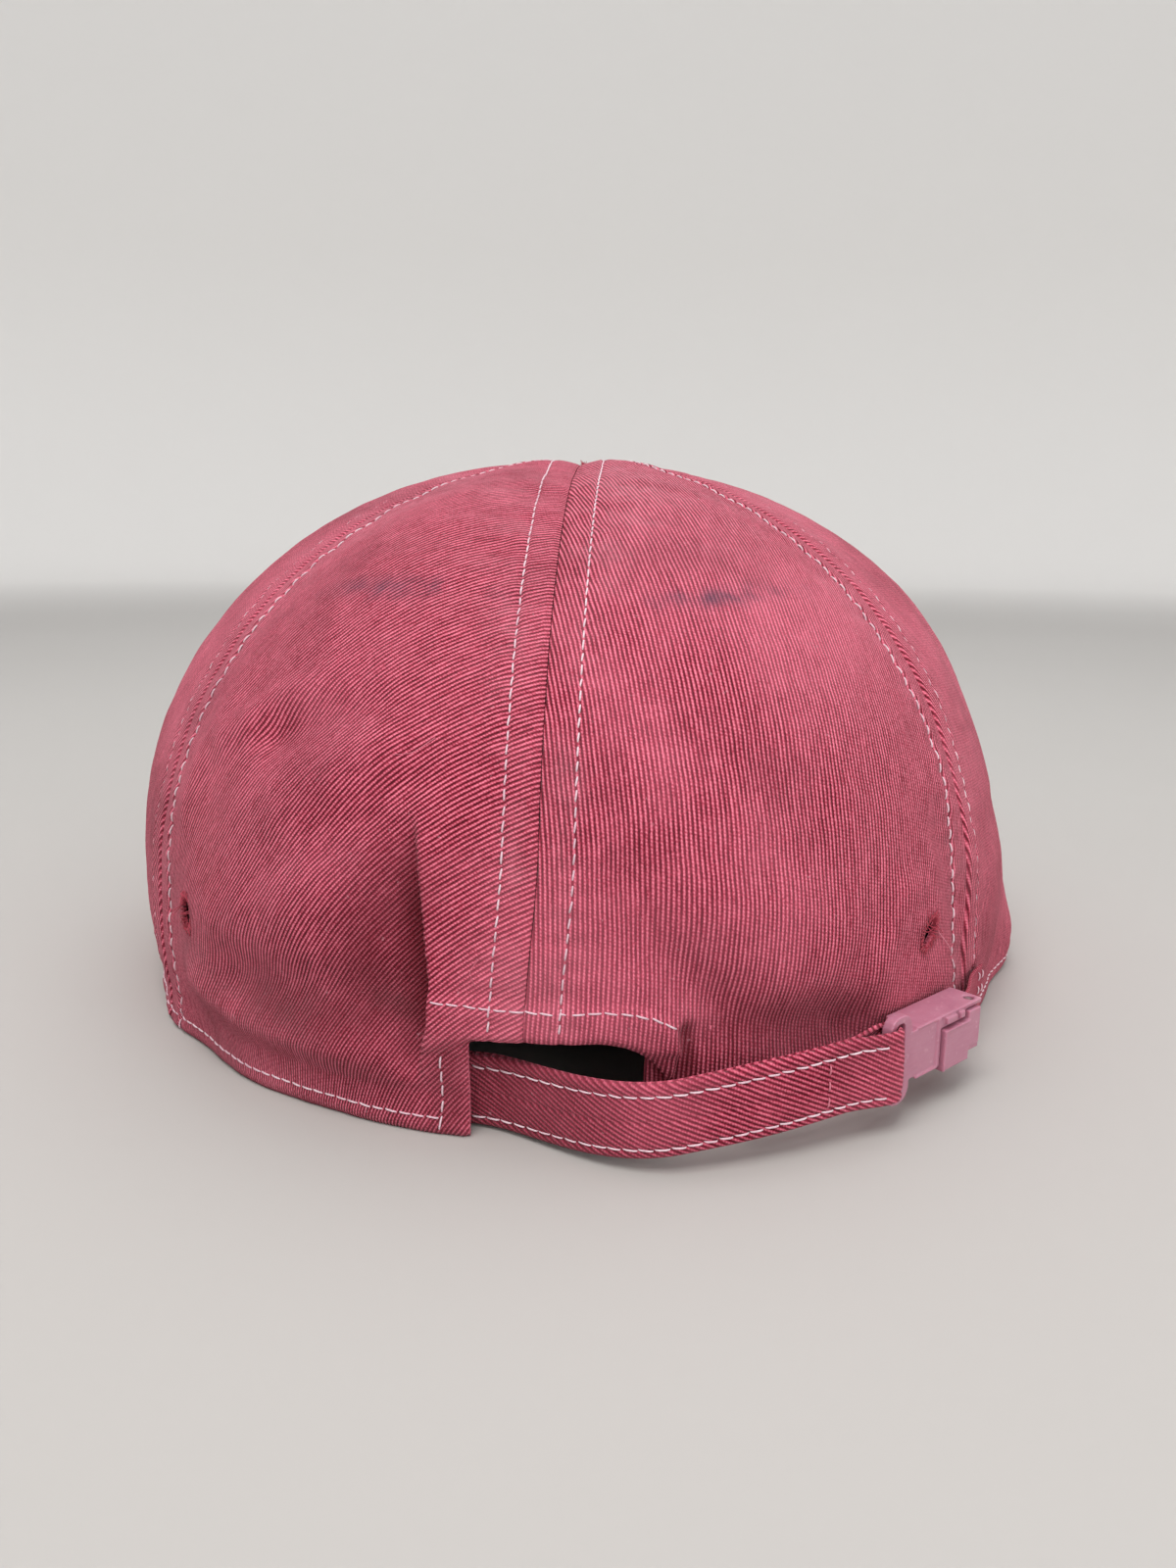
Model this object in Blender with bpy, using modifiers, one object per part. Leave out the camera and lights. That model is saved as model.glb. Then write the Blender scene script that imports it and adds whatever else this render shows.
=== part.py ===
"""Bump cap: a six-panel twill cover over a plastic bump shell with foam pads, a peak, a sweatband,
and a rear strap that a cam buckle holds on a narrow adjusting tape.

Metres, +Z up. The wearer faces +Y, so the back of the cap is at -Y and the wearer's right is +X.
A bearing is an angle round the head, from 0 at the middle of the back towards +X.
"""
import math

import bmesh
import bpy
from mathutils import Matrix, Vector

MM = 0.001

# Crown
RIM_HALF_WIDTH = 92 * MM
RIM_HALF_LENGTH = 106 * MM
CROWN_HEIGHT = 105 * MM
HEM_HEIGHT = 7 * MM
PROFILE_POWER = 2.2          # 2 is an ellipse, and more is a squarer shoulder
BELLY = 0.04                 # how far the wall swells beyond the rim, as a share of its reach
PILLOW = 2.2 * MM            # how far each panel puffs out between its seams
BACK_SEAM = 52.0             # bearings of the seams, either side
FRONT_SEAM = 116.0
TOP_RISE = 0.985             # the panels stop just short of the apex

# Layers, as depths below the crown's own surface
CLOTH = 1.2 * MM
TAPE_DEPTH, TAPE = 1.8 * MM, 0.5 * MM
FACING_DEPTH = 2.0 * MM
SHELL_DEPTH, SHELL = 3.0 * MM, 2.2 * MM
PAD_DEPTH, PAD = 6.1 * MM, 6.0 * MM
BAND_DEPTH, BAND = 5.7 * MM, 1.0 * MM
GAP = 0.3 * MM

# Peak
PEAK_LENGTH = 66 * MM
PEAK_ROOT_BEARING = 62.0     # from the middle of the front to each end of the peak's root
PEAK_RISE = 2.6 * MM         # the peak's middle layer above the front rim
PEAK_DROOP = 0.07
FRONT_LIFT = 16 * MM         # the arched peak lifts the middle of the front rim
BOARD = 2.0 * MM
PEAK_COVER = 0.7 * MM

# Rear opening
OPENING_LEFT, OPENING_RIGHT = -10.4 * MM, 20.6 * MM
OPENING_HEIGHT = 16.6 * MM
OPENING_CORNERS = 1.5 * MM, 11 * MM  # the left is nearly square, and the right well rounded
FACING_WIDTH = 6.5 * MM

# Eyelets
EYELET_BEARING = 42.0
EYELET_Z = 26.5 * MM
EYELET_RING, EYELET_THREAD = 1.9 * MM, 0.7 * MM

# Strap, tape and buckle. They run round the rear rim's own centre of curvature.
STRAP_WIDTH, STRAP = 12.0 * MM, 1.8 * MM
STRAP_LEFT_END = -26.0       # bearings round the rear centre
STRAP_TUCK_END, STRAP_OUT = -7.5, 14.0
STRAP_TUCK_DEPTH = 4.1 * MM
TAPE_WIDTH, ADJUSTING_TAPE = 6.2 * MM, 0.8 * MM
TAPE_STAND_OFF = 1.5 * MM    # its sewn end clears the swell of the panel above the hem
BUCKLE_BEARING = 45.0
BUCKLE_RADIUS = 86.1 * MM
BUCKLE_Z = 11.0 * MM
STRAP_LEFT_Z = 6.4 * MM      # the strap climbs from here to the buckle
BAR_X = -12.4 * MM           # the ring's inner bar, in the buckle's own frame
RING_Y = -2.4 * MM
LEVER_PIVOT = (11.4 * MM, -1.9 * MM)

HEAD_Y = -28.94 * MM         # the head's centre, so that the origin is under the middle of the whole cap
REAR_CENTRE_Y = HEAD_Y - RIM_HALF_LENGTH + RIM_HALF_WIDTH**2 / RIM_HALF_LENGTH

RED = (0.42, 0.045, 0.085, 1)
INNER_RED = (0.36, 0.04, 0.075, 1)
PINK = (0.50, 0.20, 0.29, 1)
GREY = (0.20, 0.19, 0.18, 1)
BLACK = (0.02, 0.02, 0.022, 1)
WHITE = (0.75, 0.74, 0.72, 1)


# ---------------------------------------------------------------- scene helpers

def clear_scene():
    for obj in list(bpy.data.objects):
        bpy.data.objects.remove(obj, do_unlink=True)


def collection(name):
    made = bpy.data.collections.new(name)
    bpy.context.scene.collection.children.link(made)
    return made


clear_scene()
PARTS = collection("bump_cap")
CUTTERS = collection("cutters")
MATERIALS = {}


def material(name, colour, roughness, metallic=0.0):
    if name not in MATERIALS:
        made = bpy.data.materials.new(name)
        made.use_nodes = True
        shader = made.node_tree.nodes["Principled BSDF"]
        shader.inputs["Base Color"].default_value = colour
        shader.inputs["Roughness"].default_value = roughness
        shader.inputs["Metallic"].default_value = metallic
        MATERIALS[name] = made
    return MATERIALS[name]


def twill():
    return material("red_twill", RED, 0.9)


def lining():
    return material("red_lining", INNER_RED, 0.9)


def buckle_plastic():
    return material("pink_plastic", PINK, 0.4)


def add_object(name, mesh, finish=None):
    """Links a mesh as a part, or as a hidden cutter where it has no finish."""
    obj = bpy.data.objects.new(name, mesh)
    if finish is None:
        CUTTERS.objects.link(obj)
        obj.hide_render = True
        obj.display_type = "WIRE"
    else:
        PARTS.objects.link(obj)
        mesh.materials.append(finish)
        mesh.shade_smooth()
        mesh.set_sharp_from_angle(angle=math.radians(35))
    return obj


def mesh_from(bm, name):
    mesh = bpy.data.meshes.new(name)
    bm.to_mesh(mesh)
    bm.free()
    return mesh


def solidify(obj, thickness):
    """Thickens a surface away from its outer side."""
    modifier = obj.modifiers.new("thickness", "SOLIDIFY")
    modifier.thickness = thickness
    modifier.offset = -1


def boolean(obj, other, operation="DIFFERENCE"):
    modifier = obj.modifiers.new(operation.lower(), "BOOLEAN")
    modifier.operation = operation
    modifier.object = other


def surface(name, columns, rows, place, finish):
    """A grid of columns by rows whose point (u, v), each 0 to 1, goes to place(u, v)."""
    bm = bmesh.new()
    bmesh.ops.create_grid(bm, x_segments=columns, y_segments=rows, size=0.5)
    for vertex in bm.verts:
        vertex.co = place(vertex.co.x + 0.5, vertex.co.y + 0.5)
    return add_object(name, mesh_from(bm, name), finish)


def block(name, x, y, z, finish=None):
    """A box between two limits on each axis."""
    bm = bmesh.new()
    bmesh.ops.create_cube(bm, size=1)
    size = Matrix.Diagonal((x[1] - x[0], y[1] - y[0], z[1] - z[0], 1))
    middle = Matrix.Translation(((x[0] + x[1]) / 2, (y[0] + y[1]) / 2, (z[0] + z[1]) / 2))
    bmesh.ops.transform(bm, matrix=middle @ size, verts=bm.verts)
    return add_object(name, mesh_from(bm, name), finish)


def cylinder(name, radius, height, matrix, finish=None, segments=20):
    bm = bmesh.new()
    bmesh.ops.create_cone(
        bm, cap_ends=True, segments=segments, radius1=radius, radius2=radius, depth=height, matrix=matrix
    )
    return add_object(name, mesh_from(bm, name), finish)


def extruded(name, outlines, half_height, finish=None):
    """Closed outlines in the XY plane, the first the outer one, made solid from -half_height to half_height."""
    curve = bpy.data.curves.new(name, "CURVE")
    curve.dimensions = "2D"
    curve.fill_mode = "BOTH"
    curve.extrude = half_height
    for outline in outlines:
        spline = curve.splines.new("POLY")
        spline.points.add(len(outline) - 1)
        for point, (x, y) in zip(spline.points, outline):
            point.co = (x, y, 0, 1)
        spline.use_cyclic_u = True
    guide = bpy.data.objects.new(name + "_outline", curve)
    CUTTERS.objects.link(guide)
    evaluated = guide.evaluated_get(bpy.context.evaluated_depsgraph_get())
    mesh = bpy.data.meshes.new_from_object(evaluated)
    mesh.name = name
    bpy.data.objects.remove(guide, do_unlink=True)
    bm = bmesh.new()
    bm.from_mesh(mesh)
    bmesh.ops.remove_doubles(bm, verts=bm.verts, dist=0.02 * MM)
    bmesh.ops.recalc_face_normals(bm, faces=bm.faces)
    bm.to_mesh(mesh)
    bm.free()
    mesh.materials.clear()
    return add_object(name, mesh, finish)


# ---------------------------------------------------------------- the crown's surface

def smooth(t):
    t = min(max(t, 0.0), 1.0)
    return t * t * (3 - 2 * t)


def rim_lift(bearing):
    """How far the rim stands above the table: nothing but an arch over the peak's root."""
    angle = math.radians(bearing)
    root_half_width = math.sin(math.radians(PEAK_ROOT_BEARING))
    if math.cos(angle) > 0 or abs(math.sin(angle)) >= root_half_width:
        return 0.0
    return FRONT_LIFT * (1 - (math.sin(angle) / root_half_width) ** 2) ** 2


def base_point(bearing, rise):
    """The crown without its pillows. rise is -1 to 0 up the upright hem, and 0 to 1 up the dome to the apex."""
    turn = max(rise, 0.0) * math.pi / 2
    height = math.sin(turn) ** (2 / PROFILE_POWER)
    reach = max(math.cos(turn), 0.0) ** (2 / PROFILE_POWER) + BELLY * 4 * height * (1 - height)
    lift = rim_lift(bearing)
    angle = math.radians(bearing)
    return Vector((
        RIM_HALF_WIDTH * reach * math.sin(angle),
        HEAD_Y - RIM_HALF_LENGTH * reach * math.cos(angle),
        lift + HEM_HEIGHT * (1 + min(rise, 0.0)) + (CROWN_HEIGHT - HEM_HEIGHT - lift) * height,
    ))


def crown_normal(bearing, rise):
    """The outward direction of the crown's surface."""
    if rise > 0.995:
        return Vector((0, 0, 1))
    around = base_point(bearing + 0.5, rise) - base_point(bearing - 0.5, rise)
    step = 0.003
    low = max(rise - step, 0.0) if rise >= 0 else -1.0
    high = rise + step if rise >= 0 else 0.0
    up = base_point(bearing, high) - base_point(bearing, low)
    return around.cross(up).normalized()


def crown_point(bearing, rise, depth=0.0):
    return base_point(bearing, rise) - crown_normal(bearing, rise) * depth


def rise_at(bearing, z):
    """The rise at which the crown reaches the height z."""
    low, high = 0.0, 1.0
    for _ in range(40):
        middle = (low + high) / 2
        if base_point(bearing, middle).z < z:
            low = middle
        else:
            high = middle
    return low


# ---------------------------------------------------------------- cover

PANEL_COLUMNS, PANEL_ROWS = 9, 15


def panel(name, start, end):
    """One crown panel between two seam bearings, with a seam gap on each side."""

    def place(u, v):
        step = v * PANEL_ROWS
        rise = step - 1 if step <= 1 else (step - 1) / (PANEL_ROWS - 1) * TOP_RISE
        centre = Vector((0, HEAD_Y, 0))
        radius = (base_point((start + end) / 2, rise) - centre).xy.length
        trim = math.degrees(GAP / 2 / radius)
        bearing = start + trim + (end - start - 2 * trim) * u
        swell = PILLOW * math.sin(math.pi * u) ** 0.75 * math.sqrt(4 * max(rise, 0) * (1 - max(rise, 0)))
        return crown_point(bearing, rise, -swell)

    obj = surface(name, PANEL_COLUMNS, PANEL_ROWS, place, twill())
    solidify(obj, CLOTH)
    return obj


def opening_cutter(name, grow, bottom):
    """The rear opening's arch, grown by a margin, as a cutter through the back of the cap."""
    left, right, top = OPENING_LEFT - grow, OPENING_RIGHT + grow, OPENING_HEIGHT + grow
    left_radius, right_radius = (radius + grow for radius in OPENING_CORNERS)
    outline = [(right, bottom)]
    for centre_x, radius, first in ((right - right_radius, right_radius, 0), (left + left_radius, left_radius, 90)):
        for i in range(7):
            angle = math.radians(first + 15 * i)
            outline.append((centre_x + radius * math.cos(angle), top - radius + radius * math.sin(angle)))
    outline.append((left, bottom))
    cutter = extruded(name, [outline], 40 * MM)
    cutter.matrix_world = Matrix.Translation((0, HEAD_Y - RIM_HALF_LENGTH, 0)) @ Matrix.Rotation(math.pi / 2, 4, "X")
    return cutter


def eyelet_matrix(side):
    bearing = side * EYELET_BEARING
    rise = rise_at(bearing, EYELET_Z)
    share = abs(bearing) / BACK_SEAM
    swell = PILLOW * math.sin(math.pi * share) ** 0.75 * math.sqrt(4 * rise * (1 - rise))
    normal = crown_normal(bearing, rise)
    place = crown_point(bearing, rise, CLOTH / 2 - swell)
    return Matrix.Translation(place) @ normal.to_track_quat("Z", "Y").to_matrix().to_4x4()


def eyelet(name, side, panel_object):
    """An embroidered ring in a hole through a back panel."""
    matrix = eyelet_matrix(side)
    hole = cylinder(name + "_hole", EYELET_RING + EYELET_THREAD + GAP, 8 * MM, matrix)
    boolean(panel_object, hole)
    bpy.ops.mesh.primitive_torus_add(
        major_radius=EYELET_RING, minor_radius=EYELET_THREAD, major_segments=16, minor_segments=8
    )
    ring = bpy.context.object
    mesh = ring.data
    bpy.data.objects.remove(ring, do_unlink=True)
    made = add_object(name, mesh, lining())
    made.matrix_world = matrix


def seam_tape(name, bearing, lowest):
    """The tape that binds a seam's allowances inside the cover."""
    half_width = 5 * MM
    bottom, top = rise_at(bearing, lowest + rim_lift(bearing)), 0.86

    def place(u, v):
        rise = bottom + (top - bottom) * v
        point = base_point(bearing, rise)
        radius = (point - Vector((0, HEAD_Y, 0))).xy.length
        return crown_point(bearing + math.degrees(half_width / radius) * (2 * u - 1), rise, TAPE_DEPTH)

    solidify(surface(name, 2, 9, place, lining()), TAPE)


def cover():
    back_left = panel("back_panel_left", -BACK_SEAM, 0)
    back_right = panel("back_panel_right", 0, BACK_SEAM)
    panel("side_panel_left", -FRONT_SEAM, -BACK_SEAM)
    panel("side_panel_right", BACK_SEAM, FRONT_SEAM)
    panel("front_panel_left", -180, -FRONT_SEAM)
    panel("front_panel_right", FRONT_SEAM, 180)
    arch = opening_cutter("opening_cutter", 0, -5 * MM)
    boolean(back_left, arch)
    boolean(back_right, arch)
    eyelet("eyelet_left", -1, back_left)
    eyelet("eyelet_right", 1, back_right)

    seam_tape("seam_tape_back", 0, 32 * MM)
    seam_tape("seam_tape_back_left", -BACK_SEAM, 16 * MM)
    seam_tape("seam_tape_back_right", BACK_SEAM, 16 * MM)
    seam_tape("seam_tape_front_left", -FRONT_SEAM, 10 * MM)
    seam_tape("seam_tape_front_right", FRONT_SEAM, 10 * MM)
    seam_tape("seam_tape_front", 180, 10 * MM)
    patch_top = CROWN_HEIGHT - TAPE_DEPTH - 0.15 * MM
    cylinder(
        "apex_patch", 9 * MM, 0.5 * MM,
        Matrix.Translation((0, HEAD_Y, patch_top - 0.25 * MM)), lining(), 24,
    )

    facing = surface(
        "opening_facing", 14, 6,
        lambda u, v: crown_point(-16 + 38 * u, rise_at(0, HEM_HEIGHT) + 0.24 * v if v > 0 else -0.9, FACING_DEPTH),
        twill(),
    )
    solidify(facing, TAPE)
    boolean(facing, arch)
    boolean(facing, opening_cutter("facing_outline", FACING_WIDTH, 1 * MM), "INTERSECT")


# ---------------------------------------------------------------- peak

def peak_point(u, v, lower):
    """A point of the peak. u runs across it from -1 to 1, v from its root to its edge, lower is the depth below its top."""
    root_angle = math.radians(180 - PEAK_ROOT_BEARING * u)
    stand_off = 1 + (GAP + 0.1 * MM) / RIM_HALF_WIDTH
    root = Vector((RIM_HALF_WIDTH * math.sin(root_angle), -RIM_HALF_LENGTH * math.cos(root_angle))) * stand_off
    end_angle = math.radians(PEAK_ROOT_BEARING)
    end_x, end_y = RIM_HALF_WIDTH * math.sin(end_angle), RIM_HALF_LENGTH * math.cos(end_angle)
    turn = abs(u) * math.pi / 2
    squareness = 0.9
    edge = Vector((
        math.copysign(math.sin(turn) ** squareness, u) * (end_x + 1.5 * MM),
        end_y + (RIM_HALF_LENGTH + PEAK_LENGTH - end_y) * math.cos(turn) ** squareness,
    ))
    flat = root.lerp(edge, v)
    lift = FRONT_LIFT * max(0.0, 1 - (flat.x / end_x) ** 2) ** 2
    droop = PEAK_DROOP * (edge - root).length * v * max(0.0, 1 - (flat.x / end_x) ** 2)
    return Vector((flat.x, HEAD_Y + flat.y, lift + PEAK_RISE - droop - lower))


def peak_layer(name, top, thickness, finish, inset=0.0):
    """One layer of the peak, whose upper face lies the distance top above the middle layer."""
    reach = 1 - inset / PEAK_LENGTH

    def place(u, v):
        across = (2 * u - 1) * (1 - inset / RIM_HALF_WIDTH)
        return peak_point(across, max(v, 0.01) * reach, -top)

    obj = surface(name, 20, 5, place, finish)
    solidify(obj, thickness)


def peak():
    board_finish = material("peak_board_plastic", WHITE, 0.5)
    peak_layer("peak_top_cover", BOARD / 2 + GAP + PEAK_COVER, PEAK_COVER, twill())
    peak_layer("peak_board", BOARD / 2, BOARD, board_finish, 2.5 * MM)
    peak_layer("peak_under_cover", -BOARD / 2 - GAP, PEAK_COVER, lining())


# ---------------------------------------------------------------- shell, pads and sweatband

def dome(name, columns, rows, depth, lowest, finish):
    """A closed dome of the crown's shape at a depth, down to the height lowest(bearing)."""
    bm = bmesh.new()
    bmesh.ops.create_uvsphere(bm, u_segments=columns, v_segments=2 * rows, radius=1)
    below = [v for v in bm.verts if v.co.z < -1e-4]
    bmesh.ops.delete(bm, geom=below, context="VERTS")
    for vertex in bm.verts:
        up = math.asin(min(1.0, vertex.co.z)) / (math.pi / 2)
        bearing = math.degrees(math.atan2(vertex.co.x, -vertex.co.y))
        start = rise_at(bearing, lowest(bearing))
        vertex.co = crown_point(bearing, start + (1 - start) * up, depth)
    return add_object(name, mesh_from(bm, name), finish)


def shell_edge(bearing):
    """The shell's lower edge: lower over the temples than at the nape, and clear of the raised front rim."""
    return 38 * MM + 4 * MM * math.cos(math.radians(2 * bearing)) + 0.4 * rim_lift(bearing)


def vent_slot(name, bearing, low, high, half_width):
    """A round-ended slot cutter that leans with the crown."""
    middle_rise = (low + high) / 2
    normal = crown_normal(bearing, middle_rise)
    upward = (crown_point(bearing, high) - crown_point(bearing, low))
    length = upward.length
    across = upward.normalized().cross(normal).normalized()
    along = normal.cross(across)
    arc = [math.radians(a) for a in range(0, 181, 30)]
    straight = length / 2 - half_width
    outline = [(half_width * math.cos(a), straight + half_width * math.sin(a)) for a in arc]
    outline += [(-half_width * math.cos(a), -straight - half_width * math.sin(a)) for a in arc]
    cutter = extruded(name, [outline], 9 * MM)
    turn = Matrix((across, along, normal)).transposed().to_4x4()
    cutter.matrix_world = Matrix.Translation(crown_point(bearing, middle_rise, SHELL_DEPTH)) @ turn
    return cutter


def shell():
    obj = dome("bump_shell", 48, 8, SHELL_DEPTH, shell_edge, material("shell_plastic", GREY, 0.45))
    solidify(obj, SHELL)
    for side in (-1, 1):
        for bearing in (34, 78, 102, 146):
            cutter = vent_slot(f"vent_{side}_{bearing}", side * bearing, 0.58, 0.72, 3 * MM)
            boolean(obj, cutter)


def pad(name, start, end, bottom, top):
    """A foam pad glued under the shell."""
    obj = surface(
        name, 6, 3,
        lambda u, v: crown_point(start + (end - start) * u, bottom + (top - bottom) * v, PAD_DEPTH),
        material("foam", BLACK, 0.95),
    )
    solidify(obj, PAD)


def liner():
    shell()
    pad("front_pad", 154, 206, 0.36, 0.54)
    pad("rear_pad", -24, 24, 0.36, 0.52)
    pad("side_pad_left", -118, -62, 0.33, 0.51)
    pad("side_pad_right", 62, 118, 0.33, 0.51)
    crown_pad = dome(
        "crown_pad", 16, 3, PAD_DEPTH, lambda bearing: 96.5 * MM, material("foam", BLACK, 0.95)
    )
    solidify(crown_pad, PAD)


def band_point(bearing, height, depth):
    """A point on an upright wall inside the rim."""
    foot = crown_point(bearing, -1, depth)
    return foot + Vector((0, 0, height))


def sweatband():
    start, end = 18.0, 346.0
    obj = surface(
        "sweatband", 40, 2,
        lambda u, v: band_point(start + (end - start) * u, (1 + 29 * v) * MM, BAND_DEPTH),
        material("sweatband_cloth", (0.33, 0.30, 0.27, 1), 0.9),
    )
    solidify(obj, BAND)
    label = surface(
        "size_label", 4, 1,
        lambda u, v: band_point(322 + 14 * u, (7 + 16 * v) * MM, BAND_DEPTH + BAND + GAP),
        material("label_cloth", WHITE, 0.8),
    )
    solidify(label, 0.4 * MM)


# ---------------------------------------------------------------- strap, tape and buckle

def rear_point(radius, bearing):
    """A plan point at a bearing round the rear rim's centre of curvature."""
    angle = math.radians(bearing)
    return radius * math.sin(angle), REAR_CENTRE_Y - radius * math.cos(angle)


def rear_radius(bearing):
    """How far the rim's outside is from the rear centre at a bearing round it."""
    x, y = rear_point(1.0, bearing)
    direction = Vector((x, y - REAR_CENTRE_Y))
    centre = REAR_CENTRE_Y - HEAD_Y
    # Where a ray from the rear centre meets the rim's ellipse.
    a = (direction.x / RIM_HALF_WIDTH) ** 2 + (direction.y / RIM_HALF_LENGTH) ** 2
    b = 2 * centre * direction.y / RIM_HALF_LENGTH**2
    c = (centre / RIM_HALF_LENGTH) ** 2 - 1
    return (-b + math.sqrt(b * b - 4 * a * c)) / (2 * a)


STRAP_RADIUS = math.hypot(BUCKLE_RADIUS - RING_Y, BAR_X)
BAR_BEARING = BUCKLE_BEARING + math.degrees(math.atan2(BAR_X, BUCKLE_RADIUS - RING_Y))
LOOP_LENGTH = 9 * MM
LOOP_OUTER = 2.35 * MM


def strap_radius(bearing):
    """The strap's middle: tucked under the left panel, then out past the right panel to the buckle."""
    tucked = rear_radius(0) - STRAP_TUCK_DEPTH
    share = smooth((bearing - STRAP_TUCK_END) / (STRAP_OUT - STRAP_TUCK_END))
    return tucked + (STRAP_RADIUS - tucked) * share


def loop_half_thickness(distance):
    """Half the strap's thickness at a distance from the bar: one band, then opened round the bar."""
    share = smooth(1 - distance / LOOP_LENGTH)
    return STRAP / 2 + (LOOP_OUTER - STRAP / 2) * share


def strap_outline():
    """The strap in plan: along its outer side, round the bar, and back along its inner side."""
    steps = 40
    bearings = [STRAP_LEFT_END + (BAR_BEARING - STRAP_LEFT_END) * i / steps for i in range(steps + 1)]
    outer, inner = [], []
    for bearing in bearings:
        distance = math.radians(BAR_BEARING - bearing) * STRAP_RADIUS
        half = loop_half_thickness(distance)
        outer.append(rear_point(strap_radius(bearing) + half, bearing))
        inner.append(rear_point(strap_radius(bearing) - half, bearing))
    return outer + loop_end(LOOP_OUTER) + inner[::-1]


def loop_end(radius):
    """The round end of the loop past the bar, from its outer side to its inner side."""
    points = []
    for i in range(1, 8):
        angle = math.pi / 2 - math.pi * i / 8
        bearing = BAR_BEARING + math.degrees(radius * math.cos(angle) / STRAP_RADIUS)
        points.append(rear_point(STRAP_RADIUS + radius * math.sin(angle), bearing))
    return points


def loop_hole():
    """The space inside the loop, which holds the bar."""
    ply = STRAP / 2
    radius = LOOP_OUTER - ply
    outer, inner = [], []
    for i in range(6):
        distance = 6.0 * MM * (1 - i / 5)
        half = loop_half_thickness(distance) - ply
        bearing = BAR_BEARING - math.degrees(distance / STRAP_RADIUS)
        outer.append(rear_point(STRAP_RADIUS + half, bearing))
        inner.append(rear_point(STRAP_RADIUS - half, bearing))
    return outer + loop_end(radius) + inner[::-1]


def straps():
    strap = extruded("strap_left", [strap_outline(), loop_hole()], STRAP_WIDTH / 2, twill())
    for vertex in strap.data.vertices:
        climb = smooth((vertex.co.x - OPENING_LEFT) / (rear_point(STRAP_RADIUS, 36)[0] - OPENING_LEFT))
        vertex.co.z += STRAP_LEFT_Z + (BUCKLE_Z - STRAP_LEFT_Z) * climb

    # The adjusting tape: constant radius where the buckle runs, then in to its sewn end on the right panel.
    outer, inner = [], []
    first, bend, last = 20.0, 55.5, 67.0
    steps = 30
    for i in range(steps + 1):
        bearing = first + (last - first) * i / steps
        sewn = rear_radius(bearing) + TAPE_STAND_OFF + ADJUSTING_TAPE / 2
        radius = BUCKLE_RADIUS + 0.2 * MM
        radius += (sewn - radius) * smooth((bearing - bend) / (last - 3 - bend))
        outer.append(rear_point(radius + ADJUSTING_TAPE / 2, bearing))
        inner.append(rear_point(radius - ADJUSTING_TAPE / 2, bearing))
    tape = extruded("adjusting_tape", [outer + inner[::-1]], TAPE_WIDTH / 2, lining())
    tape.location.z = BUCKLE_Z


def buckle_matrix():
    """The buckle's frame: +X along the strap to the right, +Y in towards the head, +Z up."""
    angle = math.radians(BUCKLE_BEARING)
    x, y = rear_point(BUCKLE_RADIUS, BUCKLE_BEARING)
    turn = Matrix.Rotation(angle, 4, "Z")
    return Matrix.Translation((x, y, BUCKLE_Z)) @ turn


def rounded_outline(half_x, half_z, radius, centre_x=0.0):
    points = []
    for quarter, (sx, sz) in enumerate(((1, 1), (-1, 1), (-1, -1), (1, -1))):
        for i in range(5):
            angle = math.radians(90 * quarter + 90 * i / 4)
            points.append((
                centre_x + sx * (half_x - radius) + radius * math.cos(angle),
                sz * (half_z - radius) + radius * math.sin(angle),
            ))
    return points


BODY_FRONT, BODY_BACK = -3.3 * MM, 2.7 * MM
BODY_HALF_HEIGHT, CHEEK = 4.4 * MM, 0.9 * MM


def buckle_body():
    finish = buckle_plastic()
    body = block(
        "buckle_body", (-5.8 * MM, 13.2 * MM), (BODY_FRONT, BODY_BACK),
        (-BODY_HALF_HEIGHT, BODY_HALF_HEIGHT), finish,
    )
    inside = BODY_HALF_HEIGHT - CHEEK
    channel = block("tape_channel", (-8 * MM, 15 * MM), (-1.5 * MM, 1.5 * MM), (-inside, inside))
    window = block("lever_window", (1.2 * MM, 9 * MM), (-5 * MM, 0), (-inside, 2.1 * MM))
    thumb_window = block("thumb_window", (1.2 * MM, 9.5 * MM), (-5 * MM, -1.5 * MM), (-6 * MM, 0))
    arm_window = block("arm_window", (8.4 * MM, 15 * MM), (-5 * MM, 0), (-inside, inside))
    neck = block("ring_neck", (-8.4 * MM, -5 * MM), (BODY_FRONT, -1.5 * MM), (-3.4 * MM, 3.4 * MM))
    ring = extruded(
        "buckle_ring",
        [
            rounded_outline(2.9 * MM, 7.4 * MM, 2.4 * MM, -10.3 * MM),
            rounded_outline(1.2 * MM, 6.2 * MM, 0.9 * MM, -10.5 * MM),
        ],
        0.9 * MM,
    )
    ring.matrix_world = Matrix.Translation((0, RING_Y, 0)) @ Matrix.Rotation(math.pi / 2, 4, "X")
    bore = cylinder("lever_bore", 0.9 * MM, 14 * MM, Matrix.Translation((*LEVER_PIVOT, 0)))
    frame = buckle_matrix()
    for cutter in (channel, window, thumb_window, arm_window):
        boolean(body, cutter)
    for piece in (neck, ring):
        boolean(body, piece, "UNION")
    boolean(body, bore)
    for obj in (body, channel, window, thumb_window, arm_window, neck, ring, bore):
        obj.matrix_world = frame @ obj.matrix_world


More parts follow.
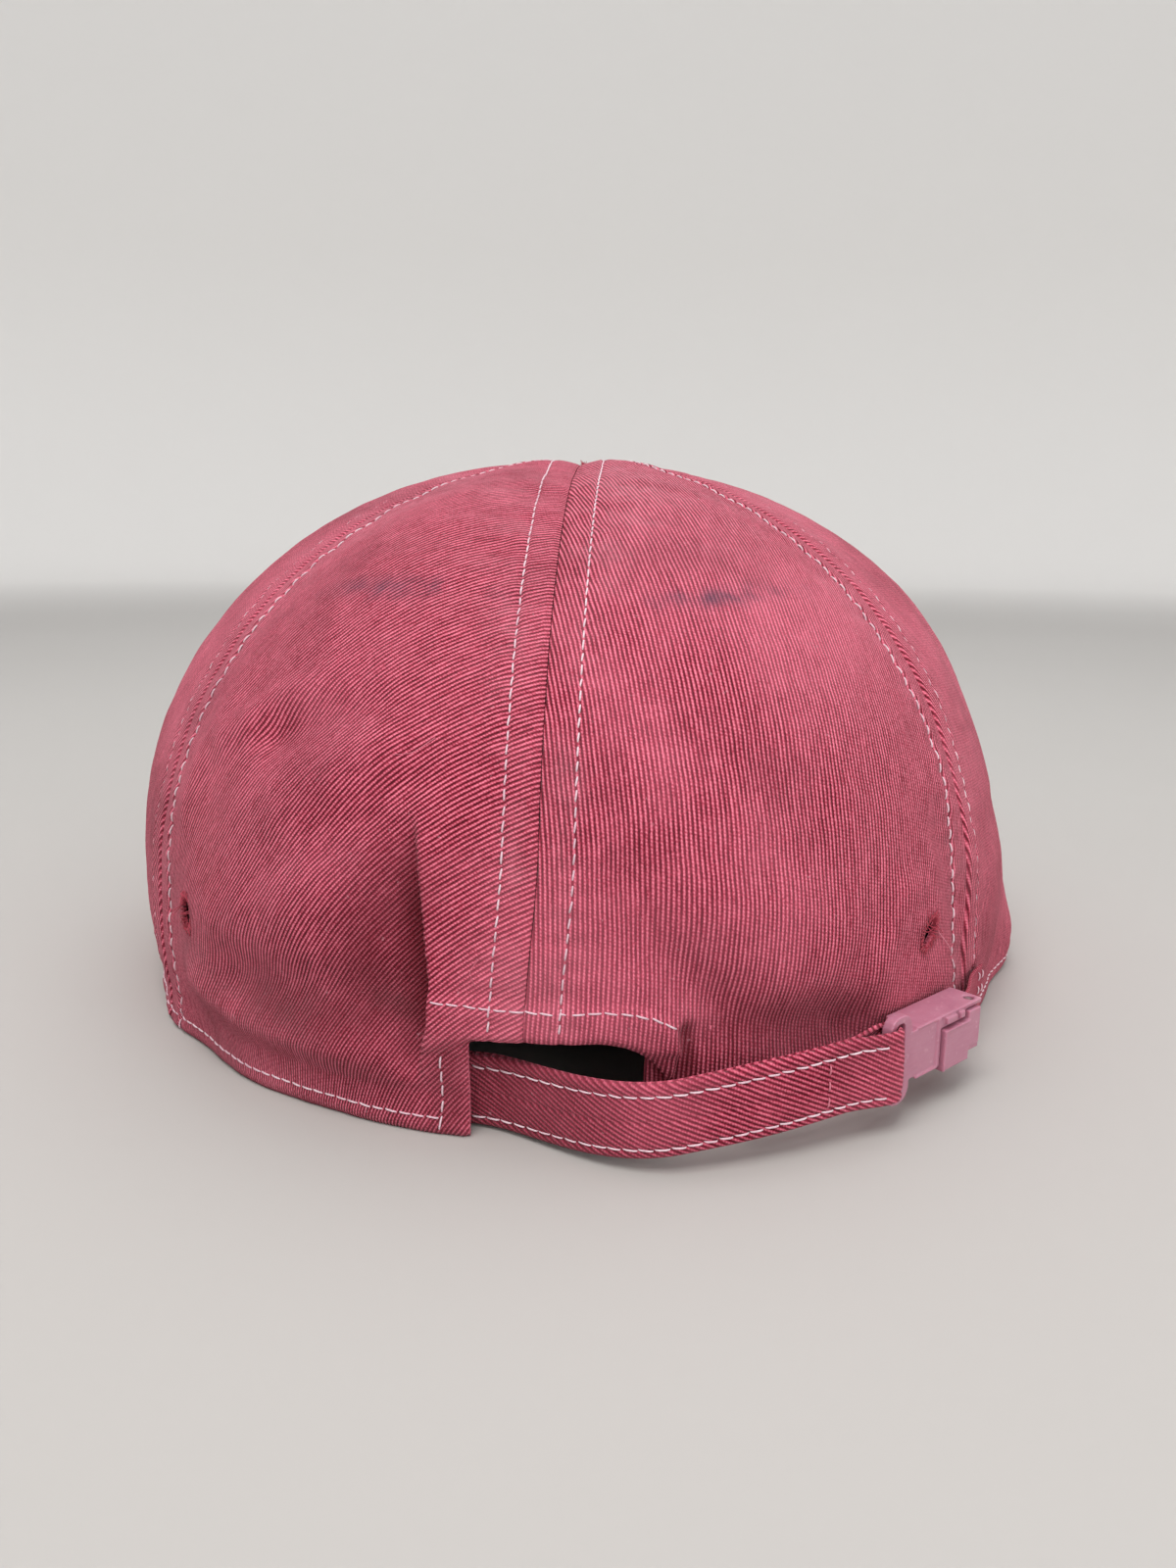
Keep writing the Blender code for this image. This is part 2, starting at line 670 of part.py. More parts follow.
def buckle_lever():
    """The cam lever: a hub on the pin, an arm, and a thumb tab that lies in the body's window, a little proud."""
    x, y = LEVER_PIVOT
    half = BODY_HALF_HEIGHT - CHEEK - GAP
    finish = buckle_plastic()
    front = BODY_FRONT - 0.6 * MM
    lever = block("buckle_lever", (1.5 * MM, 9.2 * MM), (front, front + 1.8 * MM), (-5.4 * MM, 1.8 * MM), finish)
    arm = block("lever_arm", (8.7 * MM, x + 0.8 * MM), (front, y), (-half, half))
    hub = cylinder("lever_hub", 1.35 * MM, 2 * half, Matrix.Translation((x, y, 0)))
    hole = cylinder("lever_hole", 0.9 * MM, 14 * MM, Matrix.Translation((x, y, 0)))
    boolean(lever, arm, "UNION")
    boolean(lever, hub, "UNION")
    boolean(lever, hole)
    frame = buckle_matrix()
    for obj in (lever, arm, hub, hole):
        obj.matrix_world = frame @ obj.matrix_world
    pin = cylinder(
        "lever_pin", 0.6 * MM, 2 * BODY_HALF_HEIGHT - 0.4 * MM,
        Matrix.Translation((x, y, 0)), material("pin_metal", (0.5, 0.5, 0.5, 1), 0.35, 1.0), 16,
    )
    pin.matrix_world = frame


cover()
peak()
liner()
sweatband()
straps()
buckle_body()
buckle_lever()
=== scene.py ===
"""The bump cap's looks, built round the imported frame.

Shapes are worked out in millimetres about the head's centre. A bearing is in degrees round the crown: 0 is the
back's middle, and the right side is above 0. A rise is -1 to 0 up the hem and 0 to 1 up the dome.
"""

import math

import bmesh
import bpy
import numpy as np
from mathutils import Matrix, Vector


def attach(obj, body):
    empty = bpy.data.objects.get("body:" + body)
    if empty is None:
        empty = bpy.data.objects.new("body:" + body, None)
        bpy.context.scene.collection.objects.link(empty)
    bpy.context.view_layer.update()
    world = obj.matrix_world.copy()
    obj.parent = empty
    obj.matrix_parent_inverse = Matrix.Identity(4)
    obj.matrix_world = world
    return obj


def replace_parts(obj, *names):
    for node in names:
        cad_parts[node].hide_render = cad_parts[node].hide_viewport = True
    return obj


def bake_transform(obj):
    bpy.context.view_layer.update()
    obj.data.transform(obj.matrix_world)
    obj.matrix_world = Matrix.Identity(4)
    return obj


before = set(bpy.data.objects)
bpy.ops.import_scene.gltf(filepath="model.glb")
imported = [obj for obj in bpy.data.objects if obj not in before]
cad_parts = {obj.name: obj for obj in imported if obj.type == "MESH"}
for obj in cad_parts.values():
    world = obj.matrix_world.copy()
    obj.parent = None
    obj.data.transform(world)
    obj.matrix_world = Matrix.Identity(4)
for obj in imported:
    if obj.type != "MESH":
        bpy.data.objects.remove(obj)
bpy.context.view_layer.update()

MM = 0.001
UP = np.array([0, 0, 1.0])
RNG = np.random.default_rng(11)

# The crown's surface, as the CAD has it
HALF_WIDTH, HALF_LENGTH, CROWN_HEIGHT, HEM = 92.0, 106.0, 105.0, 7.0
POWER, BELLY, PILLOW = 2.2, 0.04, 2.2
BACK_SEAM, FRONT_SEAM = 52.0, 116.0
PEAK_ROOT, FRONT_LIFT = 62.0, 16.0
HEAD_Y = -28.94
OPENING = (-10.4, 20.6, 16.6, 1.5, 11.0)  # left, right, top, and the left and right corners' radii
EYELET_BEARING, EYELET_Z = 42.0, 26.5
LEFT_SLOT, RIGHT_SLOT = (8, 2.7, 1.7), (-38, 2.8, 1.35)  # an eyelet's tilt in degrees, and its slot's half sizes
SEAM_STITCH, HEM_STITCH, TAB_STITCH = 5.3, 2.8, -15.1

# How thick the pieces are, and how far under the crown's surface the inner ones lie
PANEL, TAPE, FACING, LABEL_THICKNESS, BAND_THICKNESS, PEAK_CLOTH = 0.9, 0.4, 0.45, 0.3, 1.0, 0.6
TAPE_DEPTH, FACING_DEPTH, RETURN_DEPTH, BAND_DEPTH, FOAM_DEPTH, LABEL_DEPTH = 2.0, 1.9, 1.35, 5.75, 6.15, 7.25
TAPE_HALF_WIDTH = 4.6


# ---------------------------------------------------------------- surface

def smooth(t):
    """An even step from 0 to 1."""
    t = np.clip(t, 0, 1)
    return t * t * (3 - 2 * t)


def bell(t, width, power=2):
    """1 at 0, and falling away to either side."""
    return np.exp(-((t / width) ** power))


def length(v):
    return np.linalg.norm(v, axis=-1)


def walked(line):
    """How far along a line each of its points is."""
    return np.concatenate([[0], np.cumsum(length(np.diff(line, axis=0)))])


def along_line(at, walk, line):
    return np.stack([np.interp(at, walk, line[:, i]) for i in range(3)], 1)


def ripple(points, scale, seed, octaves=3):
    """Smooth noise, about -1 to 1, made of plane waves."""
    rng = np.random.default_rng(seed)
    total = np.zeros(points.shape[:-1])
    weight = 0.0
    for octave in range(octaves):
        for _ in range(6):
            direction = rng.normal(size=3)
            direction *= 2 * np.pi * 2**octave / (scale * np.linalg.norm(direction)) * rng.uniform(0.7, 1.3)
            total += np.sin(points @ direction + rng.uniform(0, 2 * np.pi)) / 2**octave
        weight += 6 / 2**octave
    return total / weight * 2.2


def rim_lift(bearing):
    """How far the rim is raised over the peak's root."""
    side = np.abs(np.sin(np.radians(bearing))) / math.sin(math.radians(PEAK_ROOT))
    under = (np.cos(np.radians(bearing)) < 0) & (side < 1)
    return np.where(under, FRONT_LIFT * (1 - side**2) ** 2, 0.0)


def base(bearing, rise):
    """Crown points without their pillows. rise is -1 to 0 up the hem and 0 to 1 up the dome."""
    turn = np.clip(rise, 0, 1) * np.pi / 2
    height = np.sin(turn) ** (2 / POWER)
    reach = np.clip(np.cos(turn), 0, 1) ** (2 / POWER) + BELLY * 4 * height * (1 - height)
    lift = rim_lift(bearing)
    angle = np.radians(bearing)
    return np.stack([
        HALF_WIDTH * reach * np.sin(angle),
        -HALF_LENGTH * reach * np.cos(angle),
        lift + HEM * (1 + np.minimum(rise, 0)) + (CROWN_HEIGHT - HEM - lift) * height,
    ], -1)


def unit(v):
    return v / np.maximum(np.linalg.norm(v, axis=-1, keepdims=True), 1e-9)


def normals(bearing, rise):
    around = base(bearing + 0.5, rise) - base(bearing - 0.5, rise)
    low = np.where(rise > 0.003, rise - 0.003, np.where(rise >= 0, 0.0, -1.0))
    high = np.where(rise >= 0, np.minimum(rise + 0.003, 0.9999), 0.0)
    up = base(bearing, high) - base(bearing, low)
    flat = unit(np.cross(around, up))
    top = smooth((rise - 0.985) / 0.012)[..., None]
    return unit(flat * (1 - top) + np.array([0, 0, 1.0]) * top)


def arc_per_degree(bearing, rise):
    return length(base(bearing + 0.5, rise) - base(bearing - 0.5, rise))


def inside(bearing, rise, depth):
    """Points at a depth below the crown's surface."""
    return base(bearing, rise) - normals(bearing, rise) * depth


def stroke_distance(points, line):
    """Distance from points to a polyline."""
    line = np.array(line, float)
    best = np.full(points.shape[:-1], 1e9)
    for a, b in zip(line[:-1], line[1:]):
        d = b - a
        t = np.clip((points - a) @ d / (d @ d), 0, 1)
        best = np.minimum(best, length(points - a - t[..., None] * d))
    return best


def strokes(points, table, blur=0.0):
    """How strongly each line of a table marks the points. A row is a line, its strength and its half width."""
    return [strength * bell(stroke_distance(points, line) + blur, width) for line, strength, width in table]


def arch_distance(x, z):
    """Signed distance to the rear opening's outline, below 0 inside it."""
    left, right, top, left_radius, right_radius = OPENING
    radius = np.where(x < (left + right) / 2, left_radius, right_radius)
    across = np.abs(x - (left + right) / 2) - (right - left) / 2 + radius
    up = z - top + radius
    return np.minimum(np.maximum(across, up), 0) + np.hypot(np.maximum(across, 0), np.maximum(up, 0)) - radius


# Soft dents and folds: a line on the crown, how far out it stands, and its half width
FOLDS = [
    ([(-17.3, -106, 13.9), (-10.4, -107, 16.2)], -1.3, 0.7),
    ([(-50, -88, 20), (-38, -97, 20), (-24, -103, 22)], -2.4, 5.0),
    ([(-62, -81, 15), (-50, -89, 12), (-36, -98.5, 12), (-24, -103, 13)], 1.6, 3.2),
    ([(-26, -102, 44), (-38, -96, 34), (-52, -86, 28)], 1.4, 5.0),
    ([(-30, -92.5, 66), (-44, -84.0, 58)], -2.2, 4.2),
    ([(-36.5, -85.6, 70), (-54.7, -77.0, 57)], 1.3, 3.6),
    ([(-24, -96, 58), (-40, -90, 47)], 1.2, 4.5),
    ([(-58, -73, 62), (-63, -74, 45)], 1.2, 5.0),
    ([(-20, -99, 56), (-30, -98, 42)], -0.8, 4.0),
    ([(13, -105.5, 41), (18, -105.8, 31), (26, -103.5, 23)], -2.2, 4.6),
    ([(31, -103, 18), (48, -93, 15)], -2.8, 5.5),
    ([(27, -101, 37), (45, -91, 30)], 1.0, 5.5),
    ([(58, -84, 34), (50, -88, 20)], 0.9, 4.0),
    ([(24, -98, 62), (38, -90, 50)], -0.9, 6.0),
    ([(9, -104, 56), (11, -105.5, 36)], 0.6, 3.5),
    ([(12, -103, 58), (15, -104.5, 42)], -0.7, 3.0),
    ([(66, -72, 42), (70, -68, 20)], -1.6, 5.0),
    ([(93, -28, 62), (90, -45, 48), (95, 5, 55)], -4.2, 18.0),
    ([(91, -22, 6), (92, -10, 6), (92, 10, 7)], 4.6, 10.0),
]


# The stitched line over the rear opening, and the fold beside it, as (x, z)
BAND_ROW = np.array([
    (-15.8, 23.3), (-12, 22.7), (-7.2, 22.2), (3.5, 21.9), (10, 22.2), (14, 21.9), (17.5, 20.9), (20.8, 19.1),
])
CREASE = np.array([
    (-17.4, 12.5), (-17.2, 15.0), (-15.9, 19.0), (-15.6, 26.2), (-16.2, 34.0), (-17.4, 42.0), (-18.0, 50.0),
])


def seam_shift(rise):
    """How far the centre seam runs off to the left, in degrees, as it nears the rear opening."""
    return -1.15 * smooth((0.23 - rise) / 0.19)


def seam_profile(d, along, fine):
    """How far the cloth stands out beside a seam: a ditch, the ridge over its allowance, and a stitched line."""
    ditch = -np.where(fine, 0.15, 0.55) * bell(d, np.where(fine, 0.3, 0.4))
    ridge = np.where(fine, 0.25, 0.42) * smooth((d - 0.2) / 1.0) * (1 - smooth((d - SEAM_STITCH + 0.6) / 1.3))
    stitch = -0.32 * bell(d - SEAM_STITCH, 0.45)
    pucker = 0.16 * np.sin(2 * np.pi * along / 6.1 + 1.7 * np.sin(along / 9.0)) * bell(d - 5.6, 3.0)
    return ditch + ridge + stitch + pucker + 0.18 * bell(d - 7.4, 1.6)


def rear_relief(x, z):
    """The sewn band over the rear opening, the flap at its right end and the fold to its left."""
    arch = arch_distance(x, z)
    row = np.interp(x, BAND_ROW[:, 0], BAND_ROW[:, 1])
    within = smooth((x - BAND_ROW[0, 0] + 1.5) / 1.5) * (1 - smooth((x - BAND_ROW[-1, 0]) / 1.5))
    within = within * smooth((z - 14) / 1.5)
    out = 0.8 * within * smooth((arch - 0.1) / 1.0) * (1 - smooth((z - row - 0.3) / 0.8))
    out = out - 0.5 * bell(arch, 0.6) - 0.3 * within * bell(z - row, 0.4)
    past_flap = x - np.interp(z, (8, 11, 15, 19.1), (19.0, 20.5, 21.5, 20.8))
    step = smooth((past_flap + 0.3) / 0.8) * bell(np.maximum(past_flap, 0), 5.0)
    out = out - 1.3 * step * (1 - smooth((z - 17) / 3.5)) * smooth((z - 3) / 5)
    # The panel folds over itself left of the opening: a sharp lip, and a deep hollow beside it.
    away = np.interp(z, CREASE[:, 1], CREASE[:, 0]) - x
    strength = np.interp(z, (9, 13, 18, 24, 34, 41, 50), (0, 0.45, 0.9, 1, 1, 0.6, 0))
    hollow = -4.9 * smooth(away / 1.1) * bell(np.maximum(away, 0), 10.5, 1.6)
    lifted = 1.35 * smooth((0.7 - away) / 0.9) * bell(np.maximum(-away, 0), 3.2, 1.5)
    return out + strength * (hollow + lifted)


def relief(bearing, rise, points):
    """How far the cover stands out from the crown's base surface."""
    wrapped = (bearing + 180) % 360 - 180
    wrapped = wrapped - seam_shift(rise) * np.clip(1 - np.abs(wrapped) / BACK_SEAM, 0, 1)
    side = np.abs(wrapped)
    start = np.where(side < BACK_SEAM, 0.0, np.where(side < FRONT_SEAM, BACK_SEAM, FRONT_SEAM))
    end = np.where(side < BACK_SEAM, BACK_SEAM, np.where(side < FRONT_SEAM, FRONT_SEAM, 180.0))
    share = np.clip((side - start) / (end - start), 0, 1)
    dome = np.clip(rise, 0, 1)
    swell = PILLOW * np.sin(np.pi * share) ** 1.1 * np.sqrt(4 * dome * (1 - dome))
    # The right side's outline is drawn in, as the photo has it.
    swell = swell * np.where((wrapped > BACK_SEAM) & (wrapped < FRONT_SEAM), 0.35, 1.0)
    from_seam = np.minimum(side - start, end - side) * arc_per_degree(bearing, rise)
    x, z = points[..., 0], points[..., 2]
    height = z - rim_lift(bearing)
    fade_top = 1 - smooth((rise - 0.9) / 0.09)
    fine = side < BACK_SEAM / 2
    seam = seam_profile(from_seam, z * 1.5 + 7 * start, fine) * (0.25 + 0.75 * fade_top)
    seam = seam + 0.16 * (fine & (wrapped < 0)) * bell(from_seam, 3.0) * fade_top
    hem = 0.35 * (1 - smooth((height - HEM_STITCH + 0.4) / 1.2))
    hem = hem - 0.7 * bell(height, 0.55) - 0.3 * bell(height - HEM_STITCH, 0.45)
    folds = sum(strokes(points, FOLDS))
    soft = 0.35 + 0.65 * (1 - smooth((z - 20) / 30))
    waves = 0.55 * soft * ripple(points, 34, 3, 2) + 0.10 * ripple(points, 9, 5, 2)
    out = swell + seam + hem + (folds + waves) * fade_top + np.where(side < 40, rear_relief(x, z), 0)
    limit = 4.6 - 2.75 * smooth((z - 33) / 9)  # the shell is nearer above the hem
    return np.where(out < 0, -limit * np.tanh(-out / limit), out)


def cover(bearing, rise, depth=0.0):
    """Points on the finished cover, at a depth below it."""
    bearing, rise = np.broadcast_arrays(np.asarray(bearing, float), np.asarray(rise, float))
    points = base(bearing, rise)
    return points + normals(bearing, rise) * (relief(bearing, rise, points) - depth)[..., None]


def on_cover(bearing, rise):
    """Points on the finished cover, and the ways they face."""
    bearing, rise = np.broadcast_arrays(np.asarray(bearing, float), np.asarray(rise, float))
    return cover(bearing, rise), normals(bearing, rise)


def rise_at(bearing, z):
    """The rise at a height on the dome, found by halving."""
    low, high = np.zeros_like(bearing, dtype=float), np.ones_like(bearing, dtype=float)
    for _ in range(40):
        middle = (low + high) / 2
        below = base(bearing, middle)[..., 2] < z
        low, high = np.where(below, middle, low), np.where(below, high, middle)
    return low


def rise_of(bearing, z):
    return float(rise_at(np.array([float(bearing)]), z)[0])


def back_place(x, z):
    """The bearing and rise of a place on the back, from x and height."""
    rise = np.where(z < HEM, z / HEM - 1, rise_at(0 * x, z))
    reach = -base(0 * x, rise)[..., 1] / HALF_LENGTH
    return np.degrees(np.arcsin(np.clip(x / (HALF_WIDTH * reach), -1, 1))), rise


# ---------------------------------------------------------------- meshes

def place(points):
    """Head-centred millimetres to the row frame's metres."""
    return (points + np.array([0, HEAD_Y, 0])) * MM


def add(name, data):
    """A new object in the scene."""
    obj = bpy.data.objects.new(name, data)
    bpy.context.scene.collection.objects.link(obj)
    return obj


def make(name, verts, faces, finish, smooth_shade=True, attributes=None, uv=None):
    mesh = bpy.data.meshes.new(name)
    mesh.from_pydata([tuple(v) for v in np.asarray(verts).reshape(-1, 3)], [], [tuple(f) for f in faces])
    if smooth_shade:
        mesh.shade_smooth()
    if uv is not None:
        layer = mesh.uv_layers.new(name="UVMap")
        loops = np.empty(len(mesh.loops), np.int32)
        mesh.loops.foreach_get("vertex_index", loops)
        layer.data.foreach_set("uv", np.asarray(uv, np.float32).reshape(-1, 2)[loops].ravel())
    for key, values in (attributes or {}).items():
        layer = mesh.attributes.new(key, "FLOAT", "POINT")
        layer.data.foreach_set("value", np.asarray(values, np.float32).ravel())
    mesh.materials.append(finish)
    return add(name, mesh)


def grid_faces(rows, columns, closed=False):
    index = np.arange(rows * columns).reshape(rows, columns)
    if closed:
        index = np.concatenate([index, index[:, :1]], 1)
    return np.stack([index[:-1, :-1], index[:-1, 1:], index[1:, 1:], index[1:, :-1]], -1).reshape(-1, 4)


def edit(mesh, change):
    """Makes a change to a mesh through its bmesh."""
    bm = bmesh.new()
    bm.from_mesh(mesh)
    change(bm)
    bm.to_mesh(mesh)
    bm.free()


def face_outwards(bm):
    bmesh.ops.recalc_face_normals(bm, faces=bm.faces)


def outward(obj):
    """Turns a closed mesh's faces outwards."""
    edit(obj.data, face_outwards)
    return obj


def solid(obj, thickness):
    """Gives a skin its thickness, inwards."""
    modifier = obj.modifiers.new("thickness", "SOLIDIFY")
    modifier.thickness = thickness * MM
    modifier.offset = -1.0


def apply_modifiers(obj):
    mesh = bpy.data.meshes.new_from_object(obj.evaluated_get(bpy.context.evaluated_depsgraph_get()))
    obj.modifiers.clear()
    obj.data = mesh


def finish_piece(obj, body, slot, *nodes):
    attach(obj, body)
    if nodes:
        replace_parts(obj, *nodes)
    return obj


# ---------------------------------------------------------------- materials

class Tree:
    """A material's nodes, made in a line or two each."""

    def __init__(self, name):
        self.material = bpy.data.materials.new(name)
        self.material.use_nodes = True
        self.nodes = self.material.node_tree.nodes
        self.links = self.material.node_tree.links
        self.shader = self.nodes["Principled BSDF"]

    def put(self, socket, value):
        if isinstance(value, bpy.types.NodeSocket):
            self.links.new(value, socket)
        else:
            socket.default_value = value

    def node(self, kind, inputs=None, **settings):
        made = self.nodes.new("ShaderNode" + kind)
        for key, value in settings.items():
            setattr(made, key, value)
        for key, value in (inputs or {}).items():
            self.put(made.inputs[key], value)
        return made

    def math(self, operation, a, b=0.0, c=0.0):
        return self.node("Math", {0: a, 1: b, 2: c}, operation=operation).outputs[0]

    def mix(self, factor, a, b):
        made = self.node("Mix", {0: factor}, data_type="RGBA")
        self.put(made.inputs[6], a)
        self.put(made.inputs[7], b)
        return made.outputs[2]

    def noise(self, scale, detail=3.0, vector=None, roughness=0.55):
        inputs = {"Scale": scale, "Detail": detail, "Roughness": roughness}
        inputs["Vector"] = vector if vector is not None else self.object_coordinates()
        return self.node("TexNoise", inputs).outputs[0]

    def patches(self, colour, other, scale, low, high, amount=1.0, detail=3.0, roughness=0.55):
        """Another colour mixed in, in cloudy patches."""
        cloud = self.noise(scale, detail, roughness=roughness)
        return self.mix(self.range(cloud, low, high, 0.0, amount), colour, other)

    def wave(self, value):
        """A sine wave from 0 to 1, once for every 1 of the value."""
        return self.math("MULTIPLY_ADD", self.math("SINE", self.math("MULTIPLY", value, 2 * math.pi)), 0.5, 0.5)

    def cells(self, scale):
        return self.node("TexVoronoi", {"Vector": self.object_coordinates(), "Scale": scale}).outputs[0]

    def object_coordinates(self):
        return self.node("TexCoord").outputs["Object"]

    def uv(self):
        split = self.node("SeparateXYZ", {0: self.node("UVMap", uv_map="UVMap").outputs[0]})
        return split.outputs[0], split.outputs[1]

    def range(self, value, low, high, to_low=0.0, to_high=1.0):
        inputs = {"Value": value, "From Min": low, "From Max": high, "To Min": to_low, "To Max": to_high}
        return self.node("MapRange", inputs, interpolation_type="SMOOTHSTEP").outputs[0]

    def attribute(self, name):
        return self.node("Attribute", attribute_name=name).outputs["Fac"]

    def bump(self, height, distance, strength=1.0):
        inputs = {"Height": height, "Distance": distance * MM, "Strength": strength}
        return self.node("Bump", inputs).outputs[0]

    def set(self, **values):
        for key, value in values.items():
            self.put(self.shader.inputs[key.replace("_", " ")], value)


def rgb(r, g, b):
    return (r, g, b, 1.0)


SHADOW = rgb(0.115, 0.006, 0.012)
# The lighter colour of worn cloth and of the painted sheen on the crown's top, and the lint's colour.
WEAR_AND_SHEEN, LINT = rgb(0.62, 0.24, 0.30), rgb(0.72, 0.36, 0.42)
# A plain darker tint for the darkening marks, and the stains' colour.
DARK_TINT, STAIN = rgb(0.17, 0.075, 0.085), rgb(0.070, 0.045, 0.080)


def twill(name, deep, middle, light, pitch, marked=False, shade=None):
    """Drill cloth: ribs across the UV map's first direction, in millimetres, each made of slanted floats."""
    t = Tree(name)
    across, along = t.uv()
    phase = t.math("ADD", t.math("DIVIDE", across, pitch), t.math("MULTIPLY", t.noise(60, 2), 0.9))
    step = t.math("ADD", t.math("DIVIDE", along, 0.55), t.math("MULTIPLY", phase, 0.37))
    rounded = t.math("POWER", t.wave(phase), 0.75)
    height = t.math("MULTIPLY", rounded, t.math("MULTIPLY_ADD", t.wave(step), 0.26, 0.74))
    fibre = t.noise(2600, 2)
    yarn = t.node("CombineXYZ", {0: t.math("MULTIPLY", phase, 0.9), 1: t.math("MULTIPLY", along, 0.16)}).outputs[0]
    slub = t.noise(1.0, 3, yarn, 0.7)
    # The colour follows the ribs' height: painted shade in the grooves and painted light on the rib tops, with a
    # random yarn tone from the slub and fibre noise.
    tone = height
    for grain in (slub, fibre):
        tone = t.math("ADD", tone, t.math("MULTIPLY_ADD", grain, 0.9, -0.45))
    ramp = t.node("ValToRGB", {0: tone})
    stops = ramp.color_ramp.elements
    stops[0].position, stops[0].color = 0.05, deep
    stops[1].position, stops[1].color = 1.0, light
    stops.new(0.5).color = middle
    colour = t.patches(ramp.outputs[0], light, 24, 0.42, 0.72, 0.30, 4, 0.6)
    colour = t.patches(colour, deep, 38, 0.5, 0.75, 0.30)
    if marked:
        mottle = t.range(t.noise(420, 3), 0.30, 0.62, 0.35, 1.0)
        blotches = t.range(t.noise(170, 4), 0.35, 0.68, 0.25, 1.0)
        # The marks: lighter with wear and with painted sheen, a plain darkening, and stains.
        for mark, edge, tint in (("wear_and_sheen", mottle, WEAR_AND_SHEEN), ("darkening", blotches, DARK_TINT), ("stain", blotches, STAIN)):
            colour = t.mix(t.math("MULTIPLY", t.attribute(mark), edge), colour, tint)
        colour = t.mix(t.attribute("deep"), colour, SHADOW)
    if shade:
        x = t.node("SeparateXYZ", {0: t.object_coordinates()}).outputs[0]
        colour = t.mix(t.range(x, *shade, 0.55, 0.0), colour, SHADOW)
    colour = t.patches(colour, LINT, 900, 0.70, 0.80, 0.35, 2)
    t.set(Base_Color=colour, Roughness=t.range(slub, 0.3, 0.7, 0.82, 0.96))
    t.set(Normal=t.bump(t.math("MULTIPLY_ADD", fibre, 0.25, height), 0.27 if shade else 0.26))
    t.set(Sheen_Weight=0.15, Sheen_Roughness=0.45, Sheen_Tint=rgb(1.0, 0.62, 0.68), Specular_IOR_Level=0.16)
    return t.material


def thread(name, colour, dark):
    """Spun sewing thread, with a twist along its length and a little soiling."""
    t = Tree(name)
    tone = t.patches(colour, dark, 70, 0.4, 0.7, 0.75)
    tone = t.patches(tone, dark, 1500, 0.45, 0.75, 0.4, 2)
    twist = {"Vector": t.object_coordinates(), "Scale": 700.0, "Distortion": 2.0}
    wave = t.node("TexWave", twist, bands_direction="DIAGONAL").outputs[0]
    t.set(Base_Color=tone, Roughness=0.7, Normal=t.bump(wave, 0.05, 0.6), Sheen_Weight=0.2)
    return t.material


def moulded(name, colour, shade):
    """A small glossy moulding: slight cloudiness, fine scratches and light that goes a little way in."""
    t = Tree(name)
    tone = t.patches(colour, shade, 140, 0.35, 0.7, 0.6)
    tone = t.patches(tone, rgb(0.75, 0.48, 0.56), 900, 0.60, 0.75, 0.25, 2)
    stretched = t.node("Mapping", {"Vector": t.object_coordinates(), "Scale": (300, 300, 2600)}).outputs[0]
    scratch = t.noise(1.0, 3, stretched, 0.7)
    height = t.math("ADD", t.math("MULTIPLY", scratch, 0.5), t.noise(1500, 2))
    t.set(Base_Color=tone, Roughness=t.range(scratch, 0.3, 0.7, 0.30, 0.52))
    t.set(Normal=t.bump(height, 0.02, 0.7))
    t.set(Subsurface_Weight=0.35, Subsurface_Radius=(1.0, 0.45, 0.5), Subsurface_Scale=0.0015)
    t.set(Specular_IOR_Level=0.5, Coat_Weight=0.15, Coat_Roughness=0.25)
    return t.material


def plain_moulding(name, colour, shade, roughness):
    """A textured structural moulding, with scuffs and dust."""
    t = Tree(name)
    tone = t.patches(colour, shade, 45, 0.35, 0.7, 1.0, 4)
    tone = t.patches(tone, rgb(0.42, 0.38, 0.35), 260, 0.60, 0.75, 0.35, 4)
    t.set(Base_Color=tone, Roughness=t.range(t.noise(90, 3), 0.3, 0.7, roughness - 0.1, roughness + 0.12))
    t.set(Normal=t.bump(t.cells(1400.0), 0.06, 0.6))
    return t.material


def foam_finish(name):
    t = Tree(name)
    cells = t.cells(1100.0)
    tone = t.mix(t.range(cells, 0.1, 0.7), rgb(0.012, 0.012, 0.013), rgb(0.045, 0.044, 0.046))
    tone = t.patches(tone, rgb(0.09, 0.085, 0.08), 60, 0.5, 0.75, 0.4)
    t.set(Base_Color=tone, Roughness=0.95, Normal=t.bump(cells, 0.18, 0.8), Specular_IOR_Level=0.2)
    return t.material


def knit(name, colour, light):
    """A fine knitted band: small staggered loops."""
    t = Tree(name)
    across, along = t.uv()
    wale = t.math("SINE", t.math("MULTIPLY", across, 2 * math.pi / 1.3))
    course = t.math("SINE", t.math("MULTIPLY_ADD", along, 2 * math.pi / 1.0, t.math("MULTIPLY", wale, 1.3)))
    height = t.math("MULTIPLY_ADD", t.math("MULTIPLY", wale, course), 0.5, 0.5)
    # The colour follows the loops' height: painted shade between the loops and painted light on their tops.
    tone = t.patches(t.mix(height, colour, light), colour, 35, 0.45, 0.7, 0.5, 4)
    t.set(Base_Color=tone, Roughness=0.92, Normal=t.bump(height, 0.16, 0.9), Sheen_Weight=0.3)
    return t.material


def steel():
    t = Tree("pin_steel")
    scratch = t.noise(1200, 3)
    t.set(Base_Color=t.mix(scratch, rgb(0.42, 0.42, 0.43), rgb(0.62, 0.62, 0.62)), Metallic=1.0)
    t.set(Roughness=t.range(scratch, 0.3, 0.7, 0.25, 0.45), Normal=t.bump(scratch, 0.01, 0.5))
    return t.material


